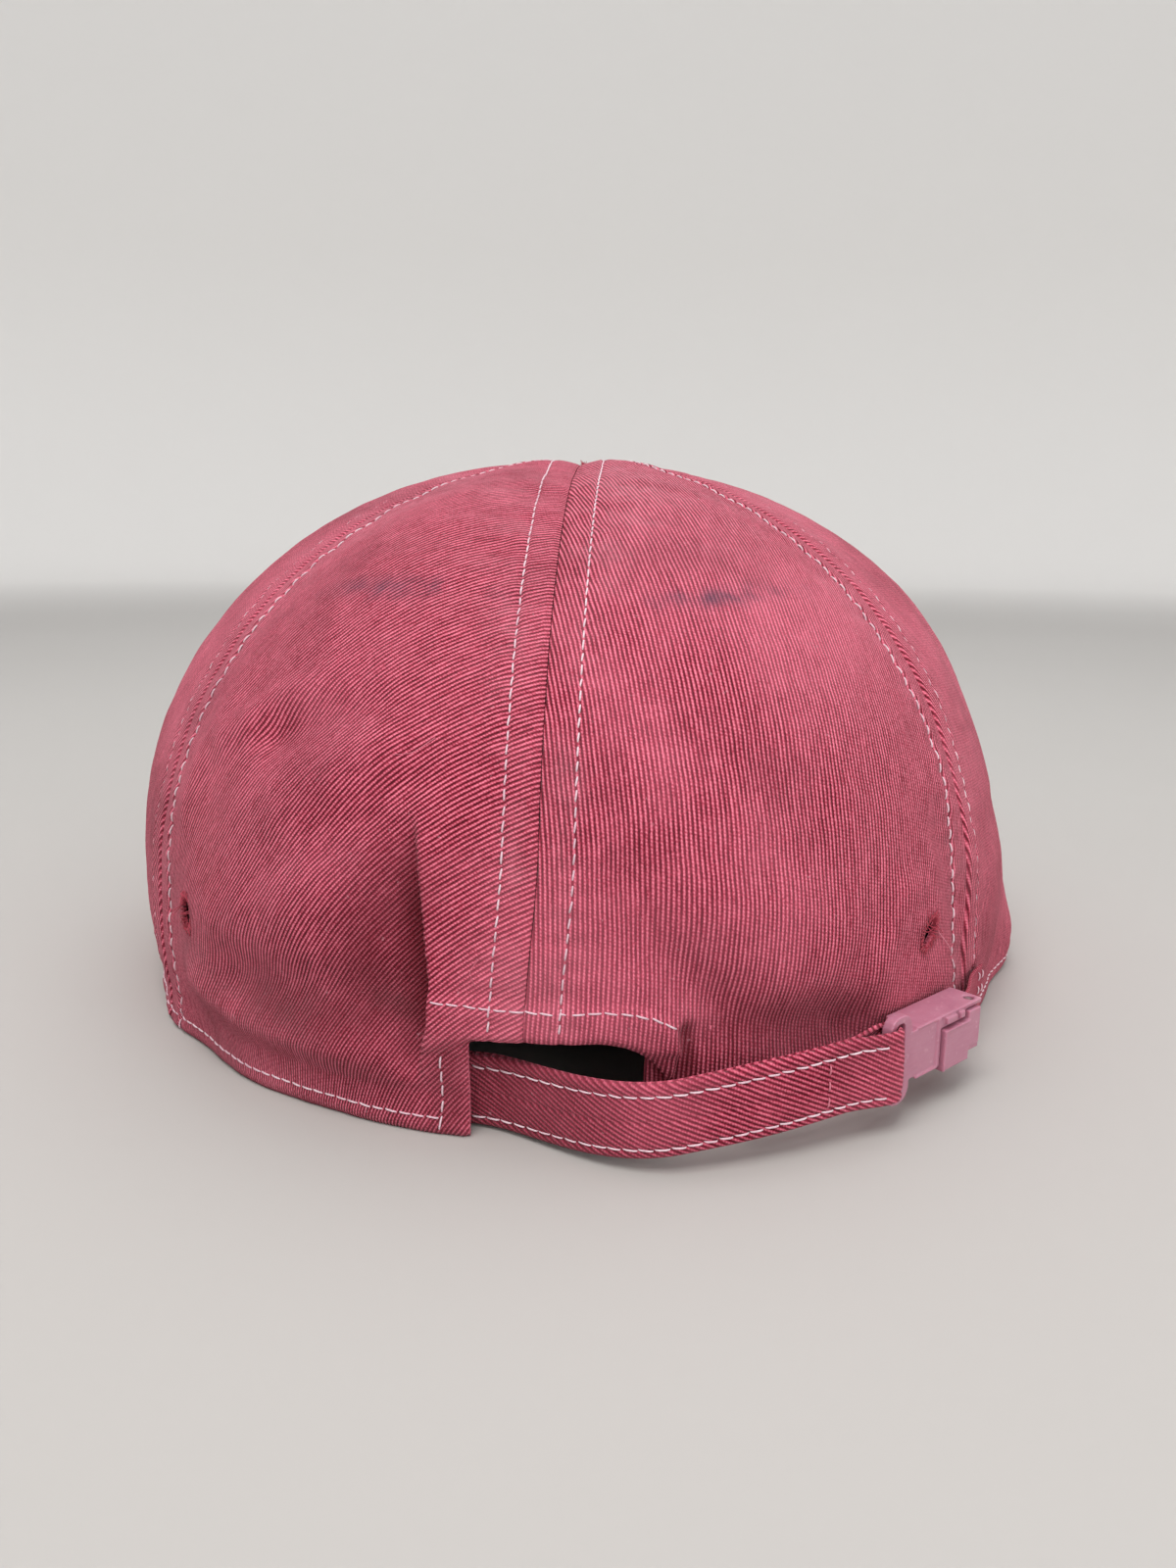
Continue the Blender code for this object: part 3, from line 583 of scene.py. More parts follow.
DEEP_RED = rgb(0.09, 0.002, 0.009)
TWILL = twill("red_twill", DEEP_RED, rgb(0.41, 0.033, 0.070), rgb(0.92, 0.225, 0.325), 0.714, marked=True)
STRAP_TWILL = twill(
    "strap_twill", DEEP_RED, rgb(0.38, 0.030, 0.066), rgb(0.84, 0.185, 0.275), 0.70, shade=(-0.002, 0.030)
)
TAPE_TWILL = twill("tape_twill", rgb(0.22, 0.014, 0.032), rgb(0.36, 0.040, 0.075), rgb(0.50, 0.09, 0.14), 0.8)
STITCH = thread("white_thread", rgb(0.80, 0.62, 0.68), rgb(0.62, 0.36, 0.44))
RED_THREAD = thread("red_thread", rgb(0.52, 0.040, 0.085), rgb(0.26, 0.012, 0.030))
PINK_THREAD = thread("pink_thread", rgb(0.66, 0.20, 0.27), rgb(0.45, 0.07, 0.12))
BUCKLE = moulded("pink_moulding", rgb(0.47, 0.19, 0.27), rgb(0.40, 0.14, 0.215))
SHELL = plain_moulding("shell_moulding", rgb(0.14, 0.122, 0.112), rgb(0.09, 0.080, 0.074), 0.5)
BOARD = plain_moulding("board_moulding", rgb(0.72, 0.71, 0.68), rgb(0.60, 0.59, 0.56), 0.55)
FOAM = foam_finish("cell_foam")
BAND = knit("band_knit", rgb(0.24, 0.22, 0.20), rgb(0.42, 0.39, 0.35))
LABEL = knit("label_weave", rgb(0.60, 0.59, 0.57), rgb(0.78, 0.77, 0.74))


# ---------------------------------------------------------------- camera, floor and light

def camera():
    """Behind the cap, a little above it, close in with a phone's wide lens."""
    swing, tilt, lean = math.radians(3.11), math.radians(12.17), math.radians(0.52)
    distance, height, offset = 269.9, 91.5, 1.6
    data = bpy.data.cameras.new("camera")
    data.lens, data.sensor_width, data.clip_start = 27.03, 36.0, 0.01
    obj = add("camera", data)
    right = Vector((math.cos(swing), math.sin(swing), 0))
    ahead = Vector((-math.sin(swing), math.cos(swing), 0))
    view = ahead * math.cos(tilt) - Vector((0, 0, math.sin(tilt)))
    up = right.cross(view)
    right, up = right * math.cos(lean) + up * math.sin(lean), up * math.cos(lean) - right * math.sin(lean)
    spot = Vector((0, HEAD_Y, 0)) - ahead * distance
    spot += Vector((math.cos(swing), math.sin(swing), 0)) * offset + Vector((0, 0, height))
    turn = Matrix((right, up, -view)).transposed().to_4x4()
    obj.matrix_world = Matrix.Translation(spot * MM) @ turn
    bpy.context.scene.camera = obj


def sweep():
    """A plain pale floor that curves up all round into a plain backdrop; its colour is painted lighter with distance,
    as painted light on the backdrop.
    """
    profile = [(0.02, 0.0), (0.3, 0.0), (1.0, 0.0), (1.9, 0.0)]
    profile += [(1.9 + 0.7 * math.sin(a), 0.7 - 0.7 * math.cos(a)) for a in np.radians(np.arange(6, 91, 6))]
    profile += [(2.6, 2.6)]
    ring = np.radians(np.arange(0, 360, 5))
    verts = [(r * math.cos(a), r * math.sin(a), z) for r, z in profile for a in ring]
    faces = grid_faces(len(profile), len(ring), True)[:, ::-1].tolist() + [list(range(len(ring)))]
    t = Tree("floor")
    near = t.mix(t.noise(3, 4), rgb(0.46, 0.445, 0.425), rgb(0.49, 0.475, 0.455))
    away = t.node("VectorMath", {0: t.object_coordinates()}, operation="LENGTH").outputs["Value"]
    # Painted light: lighter with distance from the middle, so the backdrop shows brighter than the floor near the
    # cap.
    tone = t.mix(t.range(away, 0.9, 2.2), near, rgb(0.88, 0.865, 0.84))
    t.set(Base_Color=tone, Roughness=0.9)
    make("floor", verts, faces, t.material)


def light(name, spot, aim, size, power, colour=(1, 1, 1)):
    data = bpy.data.lights.new(name, "AREA")
    data.shape, data.size, data.energy, data.color = "DISK", size, power, colour
    obj = add(name, data)
    obj.location = spot
    obj.rotation_euler = (Vector(aim) - Vector(spot)).to_track_quat("-Z", "Y").to_euler()


def studio():
    light("key", (-0.14, -0.52, 1.00), (0, -0.05, 0.05), 0.6, 5.7, (1.0, 0.98, 0.95))
    light("top", (0.10, 0.35, 1.15), (0, 0, 0.06), 0.9, 2.2, (0.97, 0.98, 1.0))
    light("fill", (0.75, -0.95, 0.40), (0, -0.03, 0.05), 0.9, 3.9)
    world = bpy.data.worlds.new("studio")
    bpy.context.scene.world = world
    world.use_nodes = True
    background = world.node_tree.nodes["Background"]
    background.inputs[0].default_value = (0.96, 0.97, 1.0, 1)
    background.inputs[1].default_value = 0.95
    bpy.context.scene.view_settings.view_transform = "Standard"


# ---------------------------------------------------------------- stitches

def thread_mesh(centres, tangents, outs, lengths, radius):
    """Stitches as one mesh: each a short round thread whose ends dive into the cloth."""
    stations = np.array([-0.5, -0.42, -0.2, 0.2, 0.42, 0.5])
    widths = np.array([0.45, 0.85, 1.0, 1.0, 0.85, 0.45])
    rises = np.array([-0.3, -0.02, 0.10, 0.10, -0.02, -0.3])
    sides = np.cross(tangents, outs)
    ring = np.radians(np.arange(0, 360, 60))
    verts = []
    for s, w, r in zip(stations, widths, rises):
        middle = centres + tangents * (s * lengths)[:, None] + outs * r
        for a in ring:
            verts.append(middle + radius * w * (sides * math.cos(a) + outs * math.sin(a)))
    verts = np.stack(verts, 1)
    count, per = len(centres), len(stations) * 6
    one = grid_faces(len(stations), 6, closed=True)[:, ::-1]
    faces = (one[None] + (np.arange(count) * per)[:, None, None]).reshape(-1, 4).tolist()
    for i in range(count):
        faces.append([i * per + k for k in range(6)])
        faces.append([i * per + per - 6 + k for k in range(5, -1, -1)])
    return verts.reshape(-1, 3), faces


def run_stitches(line, outs, pitch, size):
    """Stitch places along a dense line."""
    walk = walked(line)
    count = max(int(walk[-1] / pitch), 1)
    at = (np.arange(count) + 0.5) * walk[-1] / count + RNG.uniform(-0.08, 0.08, count)
    out = unit(along_line(at, walk, outs))
    tangent = unit(along_line(at + 0.4, walk, line) - along_line(at - 0.4, walk, line))
    tangent = unit(tangent + np.cross(tangent, out) * RNG.normal(0.07, 0.05, count)[:, None])
    return along_line(at, walk, line) + out * 0.05, tangent, out, size * RNG.uniform(0.92, 1.06, count)


def stitch_piece(name, runs, body="cap", pitch=2.35, size=2.25, radius=0.165, finish=None):
    """Rows of stitches as one piece. Without a body it is not attached."""
    parts = [run_stitches(line, outs, pitch, size) for line, outs in runs]
    joined = [np.concatenate([p[i] for p in parts]) for i in range(4)]
    verts, faces = thread_mesh(*joined, radius)
    obj = make(name, place(verts), faces, finish or STITCH)
    if body:
        finish_piece(obj, body, "red_lining")
    return obj


def seam_run(seam, side, start):
    rise = np.linspace(start, 0.93, 260)
    bearing = seam + side * SEAM_STITCH / arc_per_degree(seam, rise)
    if seam == 0:
        bearing = bearing + seam_shift(rise)
        points = base(bearing, rise)
        keep = arch_distance(points[:, 0], points[:, 2]) > 0.5
        bearing, rise = bearing[keep], rise[keep]
    return on_cover(bearing, rise)


def hem_run(start, end):
    bearing = np.linspace(start, end, 400)
    return on_cover(bearing, (HEM_STITCH - HEM) / HEM)


def on_back(x, z):
    return on_cover(*back_place(x, z))


def band_run():
    """Over the rear opening, from the fold to the band's right corner."""
    xs = np.linspace(BAND_ROW[0, 0] + 0.4, BAND_ROW[-1, 0], 300)
    return on_back(xs, np.interp(xs, BAND_ROW[:, 0], BAND_ROW[:, 1]))


# ---------------------------------------------------------------- crown panels

# Lines of darkening, stains and painted shadow on the crown: a line, its strength and its half width
DARKER_LINES = [
    ([(-72, -66, 80), (-76, -62, 62), (-74, -64, 50)], 0.45, 6.0),
    ([(-62, -80, 20), (-48, -90, 16), (-33, -100, 17), (-22, -105, 20)], 0.50, 4.0),
    ([(-66, -72, 30), (-60, -80, 8)], 0.3, 5.0),
    ([(68, -70, 44), (71, -67, 20), (64, -74, 12)], 0.45, 5.0),
    ([(4, -106, 40), (4, -107, 24)], 0.12, 5.0),
]
STAINS = [
    ([(-40, -66.5, 81.0), (-31, -71, 81.5), (-19, -75.4, 82.8)], 0.80, 2.0),
    ([(-30, -72, 79.6), (-22, -76, 80.0)], 0.45, 1.8),
    ([(16.6, -78.5, 80.4), (24, -76, 80.6), (31, -72, 81.2), (43.0, -63.0, 82.6)], 0.85, 1.9),
    ([(24, -77, 80.0), (40, -67.0, 81.6)], 0.95, 1.6),
    ([(-10, -78, 82), (-6, -79, 81)], 0.3, 1.5),
    ([(-62, -50, 84), (-66, -48, 78)], 0.45, 3.5),
]
SHADOWS = [
    ([(-26, -102, 27), (-24, -103, 17)], 0.35, 6.0),
    ([(30, -103, 17), (52, -91, 17)], 0.40, 5.0),
    ([(14, -105.5, 38), (24, -104, 26)], 0.14, 6.0),
    ([(-62, -82, 9), (-36, -98.5, 9), (-20, -105, 8)], 0.25, 6.0),
    ([(-17.3, -106, 13.6), (-10.4, -107, 15.9)], 0.6, 0.9),
    ([(22.4, -104, 18.5), (23.4, -104, 13), (22, -105, 8)], 0.75, 1.5),
    ([(-56, -84, 6), (-36, -98.5, 8), (-22, -105, 10)], 0.15, 8.0),
    ([(-46, -91, 17), (-34, -99, 16), (-23, -103, 20)], 0.55, 4.5),
    ([(-14, -106, 2), (-13, -106, 13)], 0.45, 4.0),
    ([(-20, -102, 38), (-26, -102, 30), (-27, -102, 18)], 0.55, 6.0),
    ([(86, -50, 10), (88, -30, 30)], 0.22, 14.0),
]


def marks(points, bearing):
    """Wear and painted sheen, darkening, stains and painted shadow at points on the crown."""
    x, z = points[..., 0], points[..., 2]
    side = np.abs((bearing + 180) % 360 - 180)
    patch = 0.5 + 0.5 * np.clip(ripple(points, 14, 21, 3), -1, 1)
    # Painted sheen: lighter towards the top of the crown.
    wear_and_sheen = 0.22 * smooth((z - 70) / 35) * patch
    for seam in (0, BACK_SEAM, FRONT_SEAM):
        d = np.abs(side - seam) * 1.6 * np.clip((105 - z) / 60, 0.15, 1)
        wear_and_sheen += 0.22 * bell(d - 3.5, 2.5) * patch
    # Darker along the table's lines, near the bottom edge, and a little all over.
    darkening = (0.05 + sum(strokes(points, DARKER_LINES))) * patch + 0.20 * bell(z, 3.0)
    stain = sum(strokes(points, STAINS, 0.45 * ripple(points, 5, 31, 2)))
    away = np.interp(z, CREASE[:, 1], CREASE[:, 0]) - x
    tall = np.interp(z, (8, 13, 20, 36, 43, 50), (0, 0.5, 0.95, 1, 0.6, 0))
    # Painted shadow: in the hollow beside the fold, along the shadow table's lines, and round each eyelet, on the
    # back only.
    deep = [0.95 * tall * smooth((away + 0.1) / 0.5) * bell(np.maximum(away, 0), 8.0, 1.8)] + strokes(points, SHADOWS)
    for eyelet_bearing in (-EYELET_BEARING, EYELET_BEARING):
        eye = base(eyelet_bearing, rise_of(eyelet_bearing, EYELET_Z))
        deep.append(0.75 * bell(length(points - eye), 2.9, 4))
    deep = np.where(points[..., 1] < -40, np.max(deep, axis=0), 0)
    return {
        "wear_and_sheen": np.clip(wear_and_sheen, 0, 0.7), "darkening": np.clip(darkening, 0, 0.8), "stain": np.clip(stain, 0, 0.95),
        "deep": np.clip(deep, 0, 0.95),
    }


def ribs(name, across, up):
    """The weave's place on each panel: across its ribs and along them, in millimetres."""
    if name == "back_panel_left":
        x = -across
        curve = np.where(x < 30, 0.45 * x + 0.0095 * x**2, 22.05 + 1.02 * (x - 30))
        return (up + curve * (1 - 0.002 * up + 0.5 * np.exp(-up / 15))) / 1.12, 0.7 * up - x
    if name == "side_panel_left":
        return 0.8 * (0.55 * up - across), 0.9 * up + 0.5 * across
    if name == "back_panel_right":
        return across - 0.05 * up, up
    return 0.95 * across + 0.15 * up, up - 0.2 * across


def uneven(count, ends=0.32):
    """Shares from 0 to 1 that crowd towards both ends."""
    t = np.linspace(0, 1, count)
    return t - (1 - ends) * np.sin(2 * np.pi * t) / (2 * np.pi)


def slit_cutter(name, bearing, tilt, half_length, half_width):
    """A torn eyelet's slot, through the cover."""
    centre, out = on_cover(bearing, rise_of(bearing, EYELET_Z))
    bm = bmesh.new()
    bmesh.ops.create_cone(bm, cap_ends=True, segments=18, radius1=1, radius2=1, depth=1)
    for v in bm.verts:
        wobble = 1 + 0.16 * math.sin(3.1 * math.atan2(v.co.y, v.co.x) + tilt)
        v.co = Vector((v.co.x * half_width * wobble, v.co.y * half_length, v.co.z * 6)) * MM
    mesh = bpy.data.meshes.new(name)
    bm.to_mesh(mesh)
    bm.free()
    obj = add(name, mesh)
    out = Vector(out)
    right = Vector((0, 0, 1)).cross(out).normalized()
    turn = Matrix((right, out.cross(right), out)).transposed().to_4x4()
    obj.matrix_world = Matrix.Translation(place(centre)) @ turn @ Matrix.Rotation(math.radians(tilt), 4, "Z")
    return obj


def arch_cutter():
    """The rear opening's outline, as a prism."""
    left, right, top, r1, r2 = OPENING
    arc = np.radians(np.arange(0, 91, 6))
    outline = [(right, -4)] + [(right - r2 + r2 * math.cos(a), top - r2 + r2 * math.sin(a)) for a in arc]
    outline += [(left + r1 - r1 * math.sin(a), top - r1 + r1 * math.cos(a)) for a in arc] + [(left, -4)]
    verts = [(x, y, z) for y in (-135, -80) for x, z in outline]
    n = len(outline)
    faces = [(i, (i + 1) % n, n + (i + 1) % n, n + i) for i in range(n)]
    faces += [tuple(range(n))[::-1], tuple(range(n, 2 * n))]
    return outward(make("arch_cut", place(np.array(verts, float)), faces, TWILL, False))


def cut(obj, cutters):
    for cutter in cutters:
        modifier = obj.modifiers.new("cut", "BOOLEAN")
        modifier.object = cutter
        modifier.solver = "FAST"
    if cutters:
        apply_modifiers(obj)


def remove(objects):
    for obj in objects:
        bpy.data.objects.remove(obj, do_unlink=True)


def crown_panel(name, start, end, cutters):
    back, middle = "back" in name, (start + end) / 2
    rows, columns = (250, 190) if back else (150, 104)
    share = uneven(columns, 0.6 if back else 0.32)
    rise = np.concatenate([np.linspace(-1, 0, 9)[:-1], np.linspace(0, 1, rows - 8) * 0.9985])
    rise_grid = np.repeat(rise[:, None], columns, 1)
    # The panels stop a hair short of one another.
    trim = np.minimum(0.03 / np.maximum(arc_per_degree(middle, rise), 0.02), 3.0)[:, None]
    bearing = start + trim + (end - start - 2 * trim) * share[None]
    bearing = bearing + seam_shift(rise_grid) * np.clip(1 - np.abs(bearing) / BACK_SEAM, 0, 1)
    across = arc_per_degree(bearing, rise_grid) * (bearing - (end if name == "back_panel_left" else middle))
    up = np.repeat(walked(base(middle, rise))[:, None], columns, 1)
    obj = make(
        name, place(cover(bearing, rise_grid)), grid_faces(rows, columns), TWILL, True,
        marks(base(bearing, rise_grid), bearing), np.stack(ribs(name, across, up), -1),
    )
    solid(obj, PANEL)
    cut(obj, cutters)
    obj.name = name + "_cloth"
    return finish_piece(obj, "cap", "red_twill", name)


def fabric_cover():
    arch = arch_cutter()
    left_slit = slit_cutter("slit_left", -EYELET_BEARING, *LEFT_SLOT)
    right_slit = slit_cutter("slit_right", EYELET_BEARING, *RIGHT_SLOT)
    # Each panel's bearings, what is cut from it, its flat size and its area in square metres
    for name, start, end, cutters, flat, area in (
        ("back_panel_left", -BACK_SEAM, 0, (arch, left_slit), (0.092, 0.160), 0.0107),
        ("back_panel_right", 0, BACK_SEAM, (arch, right_slit), (0.092, 0.160), 0.0107),
        ("side_panel_left", -FRONT_SEAM, -BACK_SEAM, (), (0.118, 0.160), 0.0135),
        ("side_panel_right", BACK_SEAM, FRONT_SEAM, (), (0.118, 0.160), 0.0135),
        ("front_panel_left", -180, -FRONT_SEAM, (), (0.116, 0.152), 0.0125),
        ("front_panel_right", FRONT_SEAM, 180, (), (0.116, 0.152), 0.0125),
    ):
        obj = crown_panel(name, start, end, cutters)
    remove((arch, left_slit, right_slit))


def crown_stitching():
    for seam, label in ((0, "back"), (-BACK_SEAM, "back_left"), (BACK_SEAM, "back_right"),
                        (-FRONT_SEAM, "front_left"), (FRONT_SEAM, "front_right"), (180, "front")):
        start = -0.95 if abs(seam) <= BACK_SEAM else -0.9
        stitch_piece(f"stitches_{label}", [seam_run(seam, side, start) for side in (-1, 1)], size=1.9)
    left_end = math.degrees(math.asin(TAB_STITCH / HALF_WIDTH))
    right_start = math.degrees(math.asin((OPENING[1] + 3.0) / HALF_WIDTH))
    stitch_piece("stitches_hem", [hem_run(right_start, 360 + left_end)])
    stitch_piece("stitches_opening", [band_run()])
    zs = np.linspace(0.8, 14.2, 80)
    stitch_piece("stitches_tab", [on_back(TAB_STITCH + 0.05 * zs + 0.2 * np.sin(zs / 4), zs)])


# ---------------------------------------------------------------- eyelets and loose threads

def strands(name, lines, finish):
    """Loose threads, each a thin tapering tube."""
    verts, faces = [], []
    ring = np.radians(np.arange(0, 360, 72))
    for points, radius in lines:
        points = np.array(points, float)
        fine = along_line(np.linspace(0, len(points) - 1, len(points) * 6), range(len(points)), points)
        for _ in range(5):
            fine[1:-1] = (fine[:-2] + 2 * fine[1:-1] + fine[2:]) / 4
        tangent = unit(np.gradient(fine, axis=0))
        side = unit(np.cross(tangent, np.array([0.31, 0.17, 0.93])))
        other = np.cross(tangent, side)
        start = len(verts)
        for p, s, o, r in zip(fine, side, other, np.linspace(1.0, 0.6, len(fine)) * radius):
            verts += [p + r * (s * math.cos(a) + o * math.sin(a)) for a in ring]
        faces += [tuple(start + k for k in f) for f in grid_faces(len(fine), 5, True)]
        faces += [tuple(start + k for k in range(4, -1, -1)), tuple(len(verts) - 5 + k for k in range(5))]
    return finish_piece(make(name, place(np.array(verts)), faces, finish), "cap", "red_lining")


def eyelet(node, bearing, tilt, half_length, half_width):
    """A worked eyelet that has frayed: short threads laid over the slot's edge, and some that stick out."""
    centre, out = on_cover(bearing, rise_of(bearing, EYELET_Z))
    right = unit(np.cross(UP, out))
    up = np.cross(out, right)
    turn = math.radians(tilt)
    long_axis = up * math.cos(turn) - right * math.sin(turn)
    short_axis = right * math.cos(turn) + up * math.sin(turn)

    def edge_at(a):
        return short_axis * half_width * math.cos(a) + long_axis * half_length * math.sin(a)

    lines = []
    for i in range(46):
        edge = edge_at(2 * math.pi * (i + RNG.uniform(-0.3, 0.3)) / 46)
        away = unit(edge + 1e-6)
        lean = np.cross(out, away) * RNG.normal(0, 0.25)
        inner = centre + edge * 0.92 - out * 0.7
        lip = centre + edge * 1.06 + out * RNG.uniform(0.10, 0.28)
        outer = centre + edge + away * RNG.uniform(0.7, 1.35) + lean + out * RNG.uniform(-0.05, 0.15)
        lines.append(([inner, lip, outer], 0.15))
    for _ in range(9):
        edge = edge_at(RNG.uniform(0, 2 * math.pi))
        swing = RNG.normal(0, 0.7, 3)
        tip = centre + edge * 0.4 + out * RNG.uniform(0.6, 1.5) + swing * 0.6
        lines.append(([centre + edge - out * 0.2, centre + edge * 0.8 + out * 0.3, tip], 0.10))
    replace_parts(strands(node + "_threads", lines, RED_THREAD), node)


def loose_threads():
    def at(bearing, z, out):
        return cover(bearing, rise_of(bearing, z), -out)

    lines = [
        ([at(43.6, 26, 0.2), at(45.5, 23, 0.9), at(48.5, 17.5, 0.7), at(50, 11, 1.0), at(50.4, 7.5, 0.6)], 0.11),
        ([at(52.5, 12, 0.3), at(53.2, 10, 1.4), at(53.0, 7.8, 2.4)], 0.07),
        ([at(-11, 60, 0.1), at(-13, 57.5, 0.5), at(-15, 57, 0.1)], 0.05),
        ([at(-5, 30, 0.1), at(-6, 28, 0.6), at(-5.5, 25.5, 0.1)], 0.05),
    ]
    strands("loose_threads", lines, PINK_THREAD)
    top = cover(0.0, 0.9985)
    tuft = []
    for i in range(14):
        a = 2.4 * i
        lean = np.array([math.cos(a), math.sin(a), 0]) * RNG.uniform(0.2, 1.3)
        tip = top + lean + UP * RNG.uniform(0.5, 1.6)
        tuft.append(([top - UP * 0.6 + lean * 0.2, top + lean * 0.5 + UP * 0.3, tip], 0.11))
    strands("apex_tuft", tuft, RED_THREAD)


# ---------------------------------------------------------------- strap, tape and buckle

REAR_CENTRE = -HALF_LENGTH + HALF_WIDTH**2 / HALF_LENGTH
BUCKLE_BEARING, BUCKLE_RADIUS, BUCKLE_Z = 45.0, 86.1, 11.0
BAR_X, RING_Y = -12.4, -2.4
STRAP_RADIUS = math.hypot(BUCKLE_RADIUS - RING_Y, BAR_X)
BAR_BEARING = BUCKLE_BEARING + math.degrees(math.atan2(BAR_X, BUCKLE_RADIUS - RING_Y))
LOOP_LENGTH, LOOP_OUTER, STRAP, STRAP_WIDTH = 9.0, 2.35, 1.8, 12.0
STRAP_LEFT_END, STRAP_TUCK_END, STRAP_OUT, STRAP_TUCK_DEPTH = -26.0, -7.5, 14.0, 4.1
STRAP_LEFT_Z = 6.4


def rear(radius, bearing):
    angle = np.radians(bearing)
    return radius * np.sin(angle), REAR_CENTRE - radius * np.cos(angle)


def rear_out(bearing):
    angle = np.radians(bearing)
    return np.stack([np.sin(angle), -np.cos(angle), 0 * angle], -1)


def strap_radius(bearing):
    tucked = HALF_LENGTH + REAR_CENTRE - STRAP_TUCK_DEPTH
    share = smooth((bearing - STRAP_TUCK_END) / (STRAP_OUT - STRAP_TUCK_END))
    return tucked + (STRAP_RADIUS - tucked) * share


def strap_height(x):
    end_x = STRAP_RADIUS * math.sin(math.radians(36))
    return STRAP_LEFT_Z + (BUCKLE_Z - STRAP_LEFT_Z) * smooth((x - OPENING[0]) / (end_x - OPENING[0]))


def strap_half(bearing):
    """Half the strap's thickness, which grows where it loops round the bar."""
    distance = np.radians(BAR_BEARING - bearing) * STRAP_RADIUS
    return STRAP / 2 + (LOOP_OUTER - STRAP / 2) * smooth(1 - distance / LOOP_LENGTH)


def strap_outline():
    """Along the strap's outer face to the bar, round it, and back along the inner face, as (x, y)."""
    bearing = np.linspace(STRAP_LEFT_END, BAR_BEARING, 240)
    half, centre = strap_half(bearing), strap_radius(bearing)
    ox, oy = rear(centre + half, bearing)
    ix, iy = rear(centre - half, bearing)
    turn = np.pi / 2 - np.pi * np.arange(1, 16) / 16
    end = BAR_BEARING + np.degrees(LOOP_OUTER * np.cos(turn) / STRAP_RADIUS)
    ex, ey = rear(STRAP_RADIUS + LOOP_OUTER * np.sin(turn), end)
    return np.stack([np.concatenate([ox, ex, ix[::-1]]), np.concatenate([oy, ey, iy[::-1]])], 1)


def strap_piece():
    """The stitched strap: one band of cloth, folded round the bar, its edges rounded and drawn in by stitches."""
    outline = strap_outline()
    tangent = np.gradient(outline, axis=0)
    inward = unit(np.stack([tangent[:, 1], -tangent[:, 0]], 1))
    if (inward[3] @ (np.array([0, REAR_CENTRE]) - outline[3])) < 0:
        inward = -inward
    heights = np.linspace(-1, 1, 31)
    off = np.abs(heights)
    # Across its width the cloth is puffed between the stitched lines, drawn in at them, and round at the edges.
    face = 0.16 * (1 - (heights / 0.72) ** 2) * (off < 0.72)
    face = face - 0.26 * bell(heights + 0.03 - 0.69 * np.sign(heights), 0.05) - 0.62 * smooth((off - 0.90) / 0.10)
    walk = walked(outline)
    middle, h = strap_height(outline[:, 0]), heights[:, None]
    wave = 0.22 * np.sin(walk / 9.0 + 0.6) * h + 0.12 * np.sin(walk / 4.1 + 2.0)
    wave = wave * smooth((walk - 18) / 20) * smooth((walk[-1] - walk - 18) / 20)
    xy = outline[None] - inward[None] * face[:, None, None] - inward[None] * wave[..., None] * 0.6
    z = middle + h * (STRAP_WIDTH / 2) * (1 + 0.012 * np.sin(walk / 5.0))
    along = np.repeat(walk[None], len(heights), 0)
    up = np.repeat(h * STRAP_WIDTH / 2, len(walk), 1)
    obj = make(
        "strap_left_cloth", place(np.concatenate([xy, z[..., None]], -1)), grid_faces(len(heights), len(walk)),
        STRAP_TWILL, True, None, np.stack([0.87 * (up + along * 0.57), along - 0.4 * up], -1),
    )

    def turn_out(bm):
        face_outwards(bm)
        outside = Vector(place(np.array([20, REAR_CENTRE - 88, 7.0])))
        probe = min(bm.faces, key=lambda f: (f.calc_center_median() - outside).length)
        if probe.normal.y > 0:
            bmesh.ops.reverse_faces(bm, faces=bm.faces)

    edit(obj.data, turn_out)
    solid(obj, 0.75)
    apply_modifiers(obj)
    return obj


def blend_strap(obj):
    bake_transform(obj)


def straps():
    strap = strap_piece()
    blend_strap(strap)
    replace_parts(strap, "strap_left")
    bearing = np.linspace(-8, BAR_BEARING - 1.2, 260)
    runs = []
    for h in (-0.72, 0.66):
        x, y = rear(strap_radius(bearing) + strap_half(bearing) - 0.02, bearing)
        runs.append((np.stack([x, y, strap_height(x) + h * STRAP_WIDTH / 2], 1), rear_out(bearing)))
    sewing = stitch_piece("stitches_strap", runs, None)
    tack = BAR_BEARING - math.degrees(12.5 / STRAP_RADIUS)
    z = np.linspace(-0.70, 0.62, 40) * STRAP_WIDTH / 2
    x, y = rear(float(strap_radius(tack)) + STRAP / 2 + 0.16, tack)
    line = np.stack([0 * z + x, 0 * z + y, strap_height(x) + z], 1)
    row = stitch_piece(
        "stitches_strap_end", [(line, np.repeat(rear_out(tack)[None], 40, 0))], None, 2.0, 1.7, 0.13, PINK_THREAD
    )
    for piece in (sewing, row):
        blend_strap(piece)


